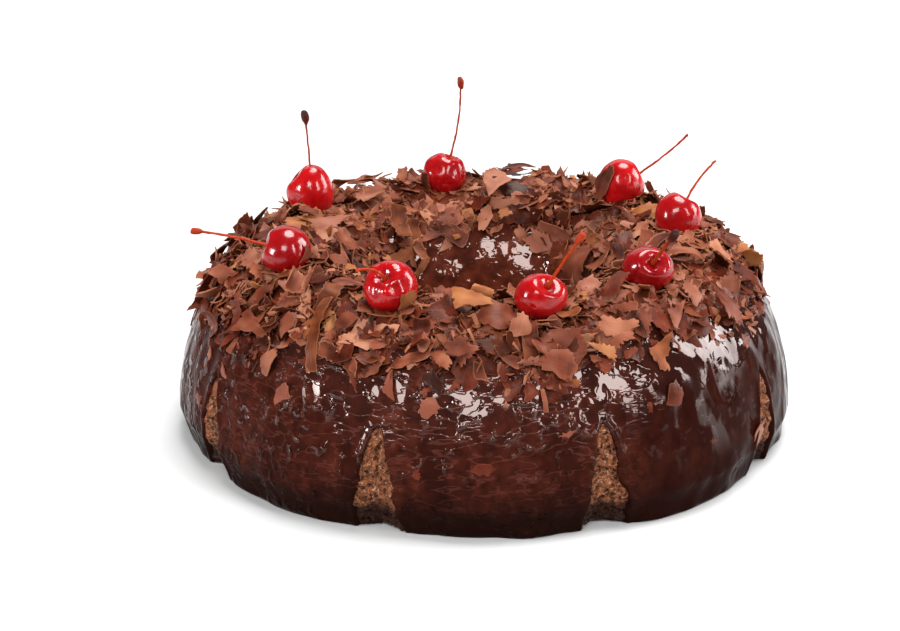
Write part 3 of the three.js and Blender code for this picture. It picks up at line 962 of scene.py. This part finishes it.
class Shavings:
    """Flakes that share a plate and a finish, gathered into one mesh."""

    def __init__(self, plate):
        self.plate = plate
        self.points = []
        self.grain = []
        self.tone = []
        self.wet = []

    def keep(self, flat, laid, normal, thickness, tone, wet, serial):
        """Add a flake whose middle sheet lies at the given points."""
        half = normal * (thickness / 2 * (1 - 0.5 * self.plate.rimness))[:, None]
        self.points.append(np.concatenate([laid + half, laid - half]))
        grain = np.concatenate([flat, np.full((len(flat), 1), serial)], 1)
        self.grain.append(np.concatenate([grain, grain]))
        self.tone.append(np.full(2 * len(flat), tone))
        self.wet.append(np.full(2 * len(flat), wet))

    def drop(self, rng, size, curl, turn, places, tone, wet, torn=0.1, press=PRESS, top=BED_TOP, slant=0.6):
        """Bend a flake, let it settle, and keep it unless it would stand above the bed."""
        length, width, thickness = size
        flat = self.plate.flat(rng, length, width, torn)
        serial = rng.uniform(0, SERIALS)
        slanted, warp = slant * rng.uniform(-1, 1), slant * rng.uniform(-0.4, 0.4)
        sheet, normal = bent(flat, curl, slanted, length, warp, serial)
        highest, laid, axes, under, height = settle(self.plate, sheet, turn, places, press)
        if highest > top or hides_cherry(laid):
            return False
        np.maximum.at(bed, under, height)
        self.keep(flat, laid, normal @ turn.T @ axes, thickness, tone, wet, serial)
        return True

    def strew(self, rng, count, lengths, widths, thickness, tilts, curls, tones, damp, place_from, tries):
        """Drop count flakes at random: painted shade darkens the left front, painted light the back right.
        """
        kept = 0
        for _ in range(count):
            length = rng.uniform(*lengths)
            size = (length, length * rng.uniform(*widths), rng.uniform(*thickness))
            places = [place_from(rng) for _ in range(tries)]
            slope = smooth_step(8, 34, math.degrees(places[0][1]))
            tilt = math.radians(rng.triangular(*tilts)) * (1 - 0.3 * slope)
            turn = pose(rng.uniform(0, TURN), tilt, rng.uniform(0, TURN))
            wet = dampness(rng, *places[0], damp)
            # Painted shade and light: tones swing round the ring, darker at the left front and paler at the
            # back right, standing in for how the light falls.
            tone = rng.uniform(*tones) + TONE_SHIFT - PAINTED_SHADE_SWING * math.cos(places[0][0] - PAINTED_SHADE_ANGLE)
            press = PRESS + 2.6 * math.sin(tilt)
            kept += self.drop(rng, size, rng.normal(*curls), turn, places, tone, wet, press=press)
        print("kept", kept, "of", count)

    def build(self, name, material):
        """Join the flakes into one piece that carries their grain, tones, wetness and rims."""
        starts = np.arange(len(self.points)) * 2 * self.plate.count
        faces = (self.plate.faces[None] + starts[:, None, None]).reshape(-1, 3)
        points = np.concatenate(self.points)
        piece = add_piece(name, points, faces, material, replaced=["cake"], sharp_angle=55)
        carry(piece, "grain", np.concatenate(self.grain))
        carry(piece, "tone", np.concatenate(self.tone))
        carry(piece, "wet", np.concatenate(self.wet))
        carry(piece, "rim", np.tile(self.plate.rimness, 2 * len(self.points)))


# %% [markdown]
# ### Finish of the chocolate
# A dry shaving is tan or plum brown, now and then ochre, and one that lies in the glaze has soaked dark. Its
# face pales and darkens softly in painted shading, fine lines run along it, and its thin edge is painted a
# little paler, partly because it is thin and partly as a painted highlight where an edge catches the light.
# Every flake carries its own tone, wetness and flat coordinates as mesh attributes, so one finish can shade
# each one differently.

# %% Chocolate finish
def chocolate_finish():
    finish = Finish("shaved_chocolate")
    grain = attribute(finish, "grain", "Vector")
    tone, wet, rim = (attribute(finish, name) for name in ("tone", "wet", "rim"))
    serial = along_axis(grain, "Z")
    chance = finish.node("ShaderNodeTexWhiteNoise", {"noise_dimensions": "1D"}, {"W": serial})
    scraped = clouds(stretched(grain, 0.25, 2.2, 1), 1.6, detail=4)
    dusty = clouds(grain, 2.8, detail=4, roughness=0.65)
    # Painted shading: broad soft clouds pale and darken each face, as curvature under the lamps would.
    shaded = clouds(grain, 8, detail=1)
    share = finish.node(
        "ShaderNodeMath", {"operation": "ADD", "use_clamp": True},
        {0: 0.8 * tone + 0.3 * (dusty - 0.5), 1: 0.25 * (scraped - 0.5) + 1.5 * (shaded - 0.5)},
    )
    darker = curve(share, (0.0, 0.0), (0.45, 1.0))
    lighter = curve(share, (0.45, 0.0), (0.95, 1.0))

    def shades(dark, middle, light):
        return blend(lighter, blend(darker, dark, middle), light)

    tan = shades((68, 25, 14), (128, 69, 48), (162, 110, 86))
    plum = shades((60, 23, 14), (120, 62, 46), (150, 95, 77))
    ochre = shades((94, 40, 16), (138, 78, 36), (168, 112, 62))
    brown = blend(curve(chance, (0.45, 0.0), (0.55, 0.9)), tan, plum)
    dry = blend(curve(chance, (0.84, 0.0), (0.88, 0.8)), brown, ochre)
    soaked = shades((40, 13, 7), (80, 30, 18), (106, 48, 32))
    face = blend(wet, dry, soaked)
    # Painted highlight: the thin edge is painted paler, partly as thin chocolate and partly as light it
    # catches.
    edge = blend(wet, (164, 106, 74), (106, 52, 33))
    colour = blend(curve(rim, (0.75, 0.0), (1.0, 0.55)), face, edge)
    bump = relief(scraped + 0.4 * dusty, 0.12)
    sockets = {
        "Base Color": colour, "Roughness": 0.5 - 0.2 * wet + 0.3 * (dusty - 0.5), "Normal": bump,
        "Specular IOR Level": 0.13, "Specular Tint": (1.0, 0.76, 0.64, 1.0),
    }
    return close_finish(finish, sockets)


shaved_chocolate = chocolate_finish()

# %% [markdown]
# ### Filling the bed
# The bed is built as it would be by hand. Flat, wet flakes go down first and stick to the glaze, larger dry
# ones fall on them, bare spots in the height field are covered, and small pieces and slivers come last.

# %% Drop the bed of flakes
bed_rng = np.random.default_rng(77)
wet_flakes, medium_flakes = Shavings(MEDIUM), Shavings(MEDIUM)
large_flakes, small_flakes = Shavings(LARGE), Shavings(SMALL)
ribbons, slivers = Shavings(RIBBON), Shavings(SLIVER)
DAMP, DRY = 0.8, 0.0
GAP_ROUNDS = 6
GAP_FLAKES = 40

# Flakes, count, lengths, widths as shares, thicknesses, tilts, curls, tones, dampness, place and tries
UNDER_LAYERS = [
    (wet_flakes, 430, (8, 16), (0.5, 0.85), (0.5, 0.8),
     (0, 6, 16), (0, 0.5), (0, 0.9), DAMP, bed_place, 3),
    (wet_flakes, 260, (5, 14), (0.5, 0.85), (0.5, 0.8),
     (0, 6, 20), (0.2, 0.6), (0, 1.1), DAMP, edge_place, 2),
    (medium_flakes, 400, (8, 15), (0.45, 0.85), (0.4, 0.7),
     (0, 14, 50), (0.6, 1.3), (0, 0.9), DRY, bed_place, 3),
    (large_flakes, 320, (13, 25), (0.4, 0.75), (0.4, 0.7),
     (0, 14, 45), (0.3, 1.25), (0, 1), DRY, bed_place, 3),
]
GAP_FILL = ((7, 14), (0.5, 0.85), (0.4, 0.6), (0, 8, 22), (0.3, 0.5), (0.1, 1.0), DRY)
TOP_LAYERS = [
    (ribbons, 150, (9, 20), (0.2, 0.4), (0.4, 0.7),
     (0, 18, 60), (1.2, 2), (0, 0.9), DRY, bed_place, 3),
    (medium_flakes, 460, (6, 13), (0.4, 0.8), (0.4, 0.6),
     (0, 35, 85), (0.8, 1.2), (0, 1), DRY, bed_place, 4),
    (small_flakes, 2200, (3, 9), (0.35, 0.8), (0.35, 0.6),
     (0, 35, 85), (0.5, 0.9), (0, 1), DRY, bed_place, 3),
    (slivers, 500, (3, 8), (0.14, 0.3), (0.35, 0.7),
     (0, 18, 70), (0.5, 0.9), (0, 1), DRY, bed_place, 3),
    (wet_flakes, 40, (4, 10), (0.5, 0.9), (0.5, 0.8),
     (0, 3, 8), (0.3, 0.3), (0.2, 1), DAMP, wall_place, 1),
]
for flakes, *how in UNDER_LAYERS:
    flakes.strew(bed_rng, *how)
for _ in range(GAP_ROUNDS):
    gaps = bare_places(bed_rng, GAP_FLAKES)
    wet_flakes.strew(bed_rng, len(gaps), *GAP_FILL, lambda rng: gaps[rng.integers(len(gaps))], 1)
for flakes, *how in TOP_LAYERS:
    flakes.strew(bed_rng, *how)

# %% [markdown]
# ### Flakes laid one by one
# A heap that is only random looks even. In a real one some shavings lean on the fruit or stick to its wet
# skin, and a few large ones catch the eye. The large ones are listed by place, size and heading and dropped
# like the rest, so that they still lie on what is under them. Those on the skin are wrapped over it.

# %% Flakes that lean on the cherries
COLLAR_FLAKES = 13
THICKNESS = 0.55
COLLAR_TOP = 13.0
SECTION_RADIUS = 48


def lay_collar(rng, cherry):
    """Flakes round the foot of a cherry, their inner edges raised against it."""
    lean = math.asin((cherry["reach"] - RIDGE_RADIUS) / ring_half(cherry["reach"] >= RIDGE_RADIUS)[0])
    for step in range(COLLAR_FLAKES):
        side = (step + rng.uniform(-0.3, 0.3)) * TURN / COLLAR_FLAKES
        away = cherry["radius"] + rng.uniform(-0.5, 3.5)
        place = (
            math.radians(cherry["angle"]) + away * math.cos(side) / cherry["reach"],
            lean - away * math.sin(side) / SECTION_RADIUS,
        )
        length = rng.uniform(7, 13)
        turn = pose(rng.uniform(0, TURN), math.radians(rng.uniform(10, 45)), side - math.pi / 2)
        size = (length, length * rng.uniform(0.5, 0.8), THICKNESS)
        tone, wet = rng.uniform(0.1, 1), rng.uniform(0, 0.4)
        curl = rng.normal(0.8, 0.6)
        medium_flakes.drop(rng, size, curl, turn, [place], tone, wet, press=1.2, top=COLLAR_TOP)


for cherry in CHERRIES:
    lay_collar(bed_rng, cherry)
print("medium flakes so far:", len(medium_flakes.points))

# %% Single flakes that catch the eye
NOTABLE_THICKNESS = 0.6
NOTABLE_CURL = 1.5
NOTABLE_TOP = 16.0

# Flakes, angle, lean, length and width, heading, tilt and its line, curl, tone and wetness
NOTABLE = [
    (ribbons, -34.6, 33, (32, 4.2), 106, (0, 0), -0.75, 0.25, 0.5),
    (large_flakes, 35.4, 41, (18, 13.5), 35, (10, 0), 0.7, 0.4, 0.1),
    (large_flakes, 86, 33, (11, 9), 60, (62, 90), 0.4, 1.0, 0.2),
    (wet_flakes, 13.7, 66, (11, 9), 8, (4, 0), 0.3, 1.0, 0.7),
    (medium_flakes, 57, 84, (15, 10), 80, (16, 0), 0.5, 1.1, 0.5),
    (wet_flakes, -18, 48, (17, 8), 80, (14, 0), -1.6, 1.2, 0.8),
    (wet_flakes, -39.4, 60, (13, 9), 70, (7, 0), 0.5, 1.2, 0.7),
    (wet_flakes, -57.9, 64, (14, 8), 80, (6, 0), 0.4, 1.0, 0.7),
    (wet_flakes, -10.8, 54, (12, 8), 70, (8, 0), -0.8, 1.3, 0.7),
    (wet_flakes, 34.7, 58, (15, 7), 75, (14, 0), -0.8, 0.5, 0.9),
    (large_flakes, 57.2, 34, (30, 14), 88, (4, 0), -0.4, 0.6, 0.7),
    (large_flakes, 51.7, 21, (15, 10), 80, (8, 0), -0.5, 0.9, 0.5),
    (large_flakes, 42.2, 31, (17, 11), 20, (10, 0), 0.5, 0.8, 0.4),
    (large_flakes, 33.2, 27, (15, 8), 75, (12, 0), -0.9, 0.35, 0.6),
    (large_flakes, 72.9, 16, (17, 10), 30, (10, 0), 0.5, 0.9, 0.0),
    (wet_flakes, 13.6, 39, (17, 12), 150, (12, 0), -1.2, 0.75, 0.5),
    (large_flakes, -5.5, 32, (14, 10), 0, (10, 0), 0.3, 0.5, 0.6),
    (medium_flakes, 6.5, 23, (11, 9), 70, (26, 0), -1.2, 0.75, 0.2),
    (large_flakes, 23.3, 36, (18, 8), 155, (18, 0), 0.6, 1.1, 0.1),
    (large_flakes, 19, 14, (12, 10), 40, (14, 0), -0.5, 0.55, 0.3),
    (large_flakes, 26.3, 28, (17, 11), 165, (14, 0), 0.7, 0.85, 0.1),
    (large_flakes, -30.3, 25, (14, 8), 10, (14, 0), 0.5, 0.35, 0.4),
    (large_flakes, -22.7, 19, (19, 8), 8, (16, 0), 0.6, 0.9, 0.1),
    (ribbons, -47.7, 13, (14, 9), 20, (20, 0), 2.5, 0.6, 0.1),
    (wet_flakes, -45.0, 49, (15, 8), 75, (10, 0), -1.2, 1.2, 0.6),
    (wet_flakes, -66.0, 60, (12, 6), 85, (5, 0), 0.4, 1.0, 0.7),
    (large_flakes, -73.7, 22, (18, 13), 60, (10, 0), 0.4, 0.3, 0.6),
    (large_flakes, -63.6, -13, (20, 8), 10, (10, 0), 0.4, 0.85, 0.0),
    (ribbons, -0.5, -8, (12, 8), 60, (50, 0), 5.0, 0.7, 0.0),
    (ribbons, -147, -47, (20, 6), 85, (8, 0), 0.8, 0.15, 0.3),
    (ribbons, -140, -38, (18, 8), 70, (10, 0), 1.0, 0.15, 0.3),
    (large_flakes, -36.5, 3, (18, 12), 100, (10, 0), -0.4, 0.95, 0.0),
    (large_flakes, -172, -8, (16, 10), 30, (20, 180), 0.8, 1.1, 0.0),
    (large_flakes, -4, 6, (28, 14), 5, (10, 0), -0.5, 0.7, 0.1),
    (large_flakes, 175, -18, (26, 15), 85, (6, 0), -0.4, 0.8, 0.3),
    (ribbons, 3.2, 50, (7, 1.8), 80, (6, 0), 0.6, 0.8, 0.3),
    (ribbons, 10, 52, (9, 1.8), 95, (6, 0), -0.8, 0.8, 0.3),
]


def lay_notable(rng):
    """Drop the listed flakes one by one, where there is room for them."""
    for kind, angle, lean, size, heading, (tilt, tilt_line), curl, tone, wet in NOTABLE:
        size, curl = (*size, NOTABLE_THICKNESS), NOTABLE_CURL * curl
        turn = pose(math.radians(heading), math.radians(tilt), math.radians(tilt_line))
        place = (math.radians(angle), math.radians(lean))
        kept = kind.drop(rng, size, curl, turn, [place], tone, wet, press=0.6, top=NOTABLE_TOP, slant=0.15)
        print("notable flake at", angle, lean, "kept" if kept else "left out")


lay_notable(bed_rng)

# %% Flakes that stick to the cherries
# Cherry, way from its middle, length and width, heading, tone and wetness
STUCK = [
    (4, (-0.78, -0.5, 0.25), (19, 10), 80, 0.35, 0.2),
    (8, (0.62, -0.75, -0.2), (12, 9), 60, 1.0, 0.5),
    (3, (-0.85, -0.45, -0.15), (12, 9), 70, 0.1, 0.3),
    (5, (0.55, -0.65, -0.5), (7, 5), 40, 1.3, 0.3),
    (2, (0.8, -0.5, 0.0), (12, 8), 70, 0.9, 0.9),
]


def stick_on_cherry(rng, number, way, size, heading, tone, wet):
    """Wrap a flake over a cherry's skin, its far ends a little loose."""
    cherry, (_, middle) = CHERRIES[number - 1], seats[number - 1]
    way = np.array(Vector(way).normalized())
    side = np.array(Vector((0, 0, 1)).cross(Vector(way)).normalized())
    flat = MEDIUM.flat(rng, *size, 0.07)
    turn = np.array(Matrix.Rotation(math.radians(heading), 2))
    outward = flat @ turn.T @ np.stack([side, np.cross(way, side)]) + cherry["radius"] * way
    outward /= np.linalg.norm(outward, axis=1)[:, None]
    loose = 0.35 + 0.02 * (flat**2).sum(1)
    laid = middle + outward * (cherry["radius"] + loose)[:, None]
    medium_flakes.keep(flat, laid, outward, THICKNESS, tone, wet, rng.uniform(0, SERIALS))


for stuck in STUCK:
    stick_on_cherry(bed_rng, *stuck)
print("flakes on cherries:", len(STUCK))

# %% Build the chocolate pieces
CHOCOLATE = {
    "flakes_wet": wet_flakes, "flakes_large": large_flakes, "flakes_medium": medium_flakes,
    "flakes_ribbon": ribbons, "flakes_small": small_flakes, "flakes_sliver": slivers,
}
for name, flakes in CHOCOLATE.items():
    flakes.build(name, shaved_chocolate)

# %% [markdown]
# ## Cherries
# Preserved cherries are soft and a little collapsed: a deep dimple round the stem, two fuller shoulders and
# shallow dents. The skin is wet and the flesh lets light in, so the finish scatters light under the surface
# and has a clear coat. A lathe alone would be too round, so the shape is a function of direction.

# %% Cherry finish
def cherry_finish():
    finish = Finish("preserved_cherry")
    place = millimetres(finish)
    veins = clouds(place, 3.5)
    deep = clouds(place, 8)
    red = blend(veins, (164, 8, 13), (186, 15, 18))
    uneven = blend(curve(deep, (0.4, 0.0), (0.7, 0.8)), red, (132, 4, 9))
    # Painted shade: each cherry carries a share that darkens it to deep crimson, in place of the light it
    # gets.
    colour = blend(attribute(finish, "ripe"), uneven, (118, 4, 10))
    bump = relief(veins, 0.25)
    sockets = {
        "Base Color": colour, "Roughness": curve(veins, (0.3, 0.12), (0.8, 0.3)), "Normal": bump,
        "Subsurface Weight": 1.0, "Subsurface Radius": (1.0, 0.15, 0.12), "Subsurface Scale": 0.006,
        "Coat Weight": 0.65, "Coat Roughness": 0.1, "Coat IOR": 1.4, "Specular IOR Level": 0.2,
    }
    return close_finish(finish, sockets)


# %% Cherry shape
DIMPLE_DEPTH = 0.4
RING_PLACE = 0.66
RING_WIDTH = 0.1
RING_SWELL = 0.035
NAVEL_DEPTH = 0.07
NAVEL_WIDTH = 0.5
SHOULDER_SWELL = 0.07
PLEAT_COUNT = 9
PLEAT_PLACE = 0.55
PLEAT_WIDTH = 0.25
PLEAT_SWELL = 0.025
CHERRY_COLUMNS = 64
CHERRY_ROWS = 52


def stem_turn(cherry):
    """The rotation that takes +Z to the stem's direction."""
    towards = Vector(cherry["towards"]).normalized()
    return np.array(Vector((0, 0, 1)).rotation_difference(towards).to_matrix())


def cherry_points(cherry, seed):
    """Skin points round the cherry's own axis, from the dimple to the navel, poles included."""
    polar = np.repeat(np.linspace(0, math.pi, CHERRY_ROWS + 1)[1:-1], CHERRY_COLUMNS)
    around = np.tile(np.arange(CHERRY_COLUMNS) * TURN / CHERRY_COLUMNS, CHERRY_ROWS - 1)
    polar = np.concatenate([[0.0], polar, [math.pi]])
    around = np.concatenate([[0.0], around, [0.0]])
    way = np.stack([np.sin(polar) * np.cos(around), np.sin(polar) * np.sin(around), np.cos(polar)], -1)
    dimple = DIMPLE_DEPTH * hump(polar, 0, cherry["dimple"])
    ring = RING_SWELL * cherry["ring"] * hump(polar, RING_PLACE, RING_WIDTH)
    navel = NAVEL_DEPTH * hump(polar, math.pi, NAVEL_WIDTH)
    shoulder = SHOULDER_SWELL * np.cos(2 * (around - math.radians(cherry["plump"]))) * (0.5 + way[:, 2] / 2)
    soft = 0.02 * waviness(way, 0.8, seed) + 0.02 * cherry["wrinkles"] * waviness(way, 0.35, seed + 1)
    crimped = np.cos(PLEAT_COUNT * around + 3 * waviness(way, 0.9, seed + 2))
    crimped *= hump(polar, PLEAT_PLACE, PLEAT_WIDTH)
    pleats = PLEAT_SWELL * cherry["pleats"] * crimped
    reach = (1 - dimple - navel) * (1 + shoulder * np.sin(polar)) + (soft + pleats + ring) * np.sin(polar)
    outside = way @ stem_turn(cherry).T
    for towards, depth, width in cherry["dents"]:
        apart = np.arccos(np.clip(outside @ np.array(Vector(towards).normalized()), -1, 1))
        lip = 0.15 * hump(apart, 2 * width, width)
        reach = reach - depth * (hump(apart, 0, width) - lip)
    return way * reach[:, None] * cherry["radius"]


# %% Faces of a globe
def globe_faces(columns, rows):
    """Faces of a globe whose first and last points are its poles."""
    ring = np.arange(columns)
    beside = (ring + 1) % columns
    last = (rows - 1) * columns + 1
    top = [[0, 1 + a, 1 + b] for a, b in zip(ring, beside)]
    bottom = [[last, last - columns + b, last - columns + a] for a, b in zip(ring, beside)]
    sides = [
        [upper + a, upper + columns + a, upper + columns + b, upper + b]
        for upper in range(1, 1 + (rows - 2) * columns, columns) for a, b in zip(ring, beside)
    ]
    return np.array(top + bottom + [quad[:3] for quad in sides] + [[q[0], q[2], q[3]] for q in sides])


# %% Set the cherries in their seats
cherry_skin = cherry_finish()
CHERRY_FACES = globe_faces(CHERRY_COLUMNS, CHERRY_ROWS)
for number, (cherry, (_, middle)) in enumerate(zip(CHERRIES, seats), start=1):
    points = cherry_points(cherry, 50 + 3 * number) @ stem_turn(cherry).T * (1, 1, cherry["tall"]) + middle
    replaced = [f"cherry_{number}"]
    fruit = add_piece(f"cherry_fruit_{number}", points, CHERRY_FACES, cherry_skin, replaced)
    carry(fruit, "ripe", np.full(len(points), cherry["ripe"]))

# %% [markdown]
# ## Stems
# A cherry stem is a thin, springy stalk that swells where it meets the fruit and again at the end, where it
# broke off the twig. A tube with one radius would look like wire, so the radius changes along the curve.

# %% Stem finish
def stem_finish():
    finish = Finish("cherry_stalk")
    along, bark = attribute(finish, "along"), attribute(finish, "bark")
    speckle = clouds(millimetres(finish), 1.2)
    red = blend(speckle, (140, 24, 8), (178, 66, 22))
    brown = blend(speckle, (30, 11, 9), (64, 25, 19))
    colour = blend(curve(along, (0.6, 0.25), (0.93, 1.0)) * bark, red, brown)
    sockets = {"Base Color": colour, "Roughness": 0.38, "Normal": relief(speckle, 0.15)}
    return close_finish(finish, {**sockets, "Specular IOR Level": 0.12})


# %% Stem shape
STEM_STAND = 0.95
STEM_SINK = 1.3
STEM_FLARE = 0.5
KNOB_STRETCH = 1.6


def stem_path(cherry, share):
    """Middle line of a stem round the cherry's own axis."""
    foot = cherry["radius"] * (1 - DIMPLE_DEPTH) + STEM_STAND
    end = np.array([2 * cherry["sway"][0], 2 * cherry["sway"][1], foot + cherry["length"]])
    start = np.array([0, 0, foot - STEM_SINK])
    bend = np.array([0, 0, foot + cherry["length"] / 2])
    share = share[:, None]
    return (1 - share) ** 2 * start + 2 * share * (1 - share) * bend + share**2 * end


def stem_reach(cherry):
    """Length of a stem with its end knob, whose middle sits at the stalk's end."""
    return cherry["length"] + cherry["knob"] * KNOB_STRETCH


def stem_radius(cherry, share):
    """Radius along a stem: flared at the fruit, thin in the middle, knobbed or frayed at the end."""
    stalk = cherry["stalk"]
    flare = STEM_FLARE * np.exp(-share * 14)
    knob_reach = max(cherry["knob"] * KNOB_STRETCH, 0.8) / stem_reach(cherry)
    swelling = np.sqrt(np.clip(1 - ((share - 1 + knob_reach) / knob_reach) ** 2, 0, 1))
    knob = max(cherry["knob"] - stalk, 0.1) * swelling
    rounded = np.sqrt(np.clip((1 - share) / 0.012, 0, 1))
    return (stalk * (1 - 0.15 * np.sin(share * math.pi)) + flare + knob) * rounded + 0.02


# %% Grow the stems
STEM_SIDES = 14
STEM_STEPS = 44
STEM_UNEVEN = 0.16


def make_stem(cherry, middle, number, material):
    """A tube along the stem's curve, with closer rings towards its end."""
    half = STEM_STEPS // 2
    share = np.concatenate([np.linspace(0, 0.85, half, endpoint=False), np.linspace(0.85, 1, half)])
    path = stem_path(cherry, share * stem_reach(cherry) / cherry["length"])
    turn = np.arange(STEM_SIDES) * TURN / STEM_SIDES
    ring = np.stack([np.cos(turn), np.sin(turn), np.zeros(STEM_SIDES)], -1)
    radius = stem_radius(cherry, share)
    skin = path[:, None] + ring[None] * radius[:, None, None]
    skin = skin.reshape(-1, 3)
    skin += STEM_UNEVEN * np.stack([waviness(skin, 1.3, 90 + axis) for axis in range(3)], -1)
    points = np.concatenate([path[:1], skin, path[-1:]]) @ stem_turn(cherry).T + middle
    faces = globe_faces(STEM_SIDES, len(share) + 1)[:, ::-1]
    piece = add_piece(f"stem_stalk_{number}", points, faces, material, [f"stem_{number}"])
    carry(piece, "along", np.concatenate([[0], np.repeat(share, STEM_SIDES), [1]]))
    carry(piece, "bark", np.full(len(points), cherry["bark"]))


stalk_skin = stem_finish()
for number, (cherry, (_, middle)) in enumerate(zip(CHERRIES, seats), start=1):
    make_stem(cherry, middle, number, stalk_skin)

# %% [markdown]
# ## Studio
# The floor is plain and pale. A broad, soft sun from above lights the flakes and keeps the shadow short.
# Glaze shows its shape only by what it mirrors, so six soft boxes stand round the cake and put bright
# patches on its shoulders and along its sides. One big lamp would grey the whole skin instead.

# %% Floor
def floor_finish():
    finish = Finish("studio_floor")
    speckle = clouds(millimetres(finish), 60)
    colour = blend(speckle, (198, 198, 198), (201, 201, 201))
    return close_finish(finish, {"Base Color": colour, "Roughness": 0.9})


floor_mesh = bpy.data.meshes.new("floor")
FLOOR_HALF = 4.0
FLOOR_DROP = 0.0003
quarters = [(-1, -1), (1, -1), (1, 1), (-1, 1)]
floor_corners = [(x * FLOOR_HALF, y * FLOOR_HALF, -FLOOR_DROP) for x, y in quarters]
floor_mesh.from_pydata(floor_corners, [], [(0, 1, 2, 3)])
floor_mesh.materials.append(floor_finish())
floor = bpy.data.objects.new("floor", floor_mesh)
bpy.context.scene.collection.objects.link(floor)
print("floor:", 2 * FLOOR_HALF, "m wide")

# %% Sun and soft boxes
def soft_box(name, place, aim, width, depth, power):
    """A rectangular lamp at a place, turned to what it lights."""
    light = bpy.data.lights.new(name, "AREA")
    light.shape = "RECTANGLE"
    light.size, light.size_y, light.energy = width, depth, power
    lamp = bpy.data.objects.new(name, light)
    lamp.location = place
    lamp.rotation_euler = (Vector(aim) - Vector(place)).to_track_quat("-Z", "Y").to_euler()
    bpy.context.scene.collection.objects.link(lamp)


def sun(name, way, power, spread):
    """Light from one way, as soft as its spread in degrees is wide."""
    light = bpy.data.lights.new(name, "SUN")
    light.energy, light.angle = power, math.radians(spread)
    lamp = bpy.data.objects.new(name, light)
    lamp.rotation_euler = Vector(way).to_track_quat("Z", "Y").to_euler()
    bpy.context.scene.collection.objects.link(lamp)


sun("top_sun", (0.15, 0.2, 0.95), 4.2, 35)

# Name, place, aim, width, depth and power
SOFT_BOXES = [
    ("front_box", (-0.19, -1.04, 0.89), (0, 0, 0.04), 0.5, 0.42, 10),
    ("corner_box", (0.85, -0.75, 0.7), (0, 0, 0.04), 0.24, 0.6, 7),
    ("right_box", (1.17, 0.26, 0.55), (0, 0, 0.05), 0.5, 0.6, 12),
    ("left_box", (-1.1, -0.45, 0.4), (0, 0, 0.05), 0.25, 0.3, 10),
    ("low_box", (1.25, -0.1, 0.14), (0, 0, 0.05), 0.6, 0.2, 2),
    ("back_box", (0, 1.6, 1.1), (0, 0, 0.05), 2.2, 1.0, 6),
]
for box in SOFT_BOXES:
    soft_box(*box)
print("lights:", len(SOFT_BOXES) + 1)

# %% Sky
sky = bpy.data.worlds.new("sky")
sky.use_nodes = True
backdrop = sky.node_tree.nodes["Background"].inputs
backdrop["Color"].default_value = (1, 1, 1, 1)
backdrop["Strength"].default_value = 0.1
bpy.context.scene.world = sky
bpy.context.scene.view_settings.view_transform = "Standard"
print("sky strength:", round(backdrop["Strength"].default_value, 2))
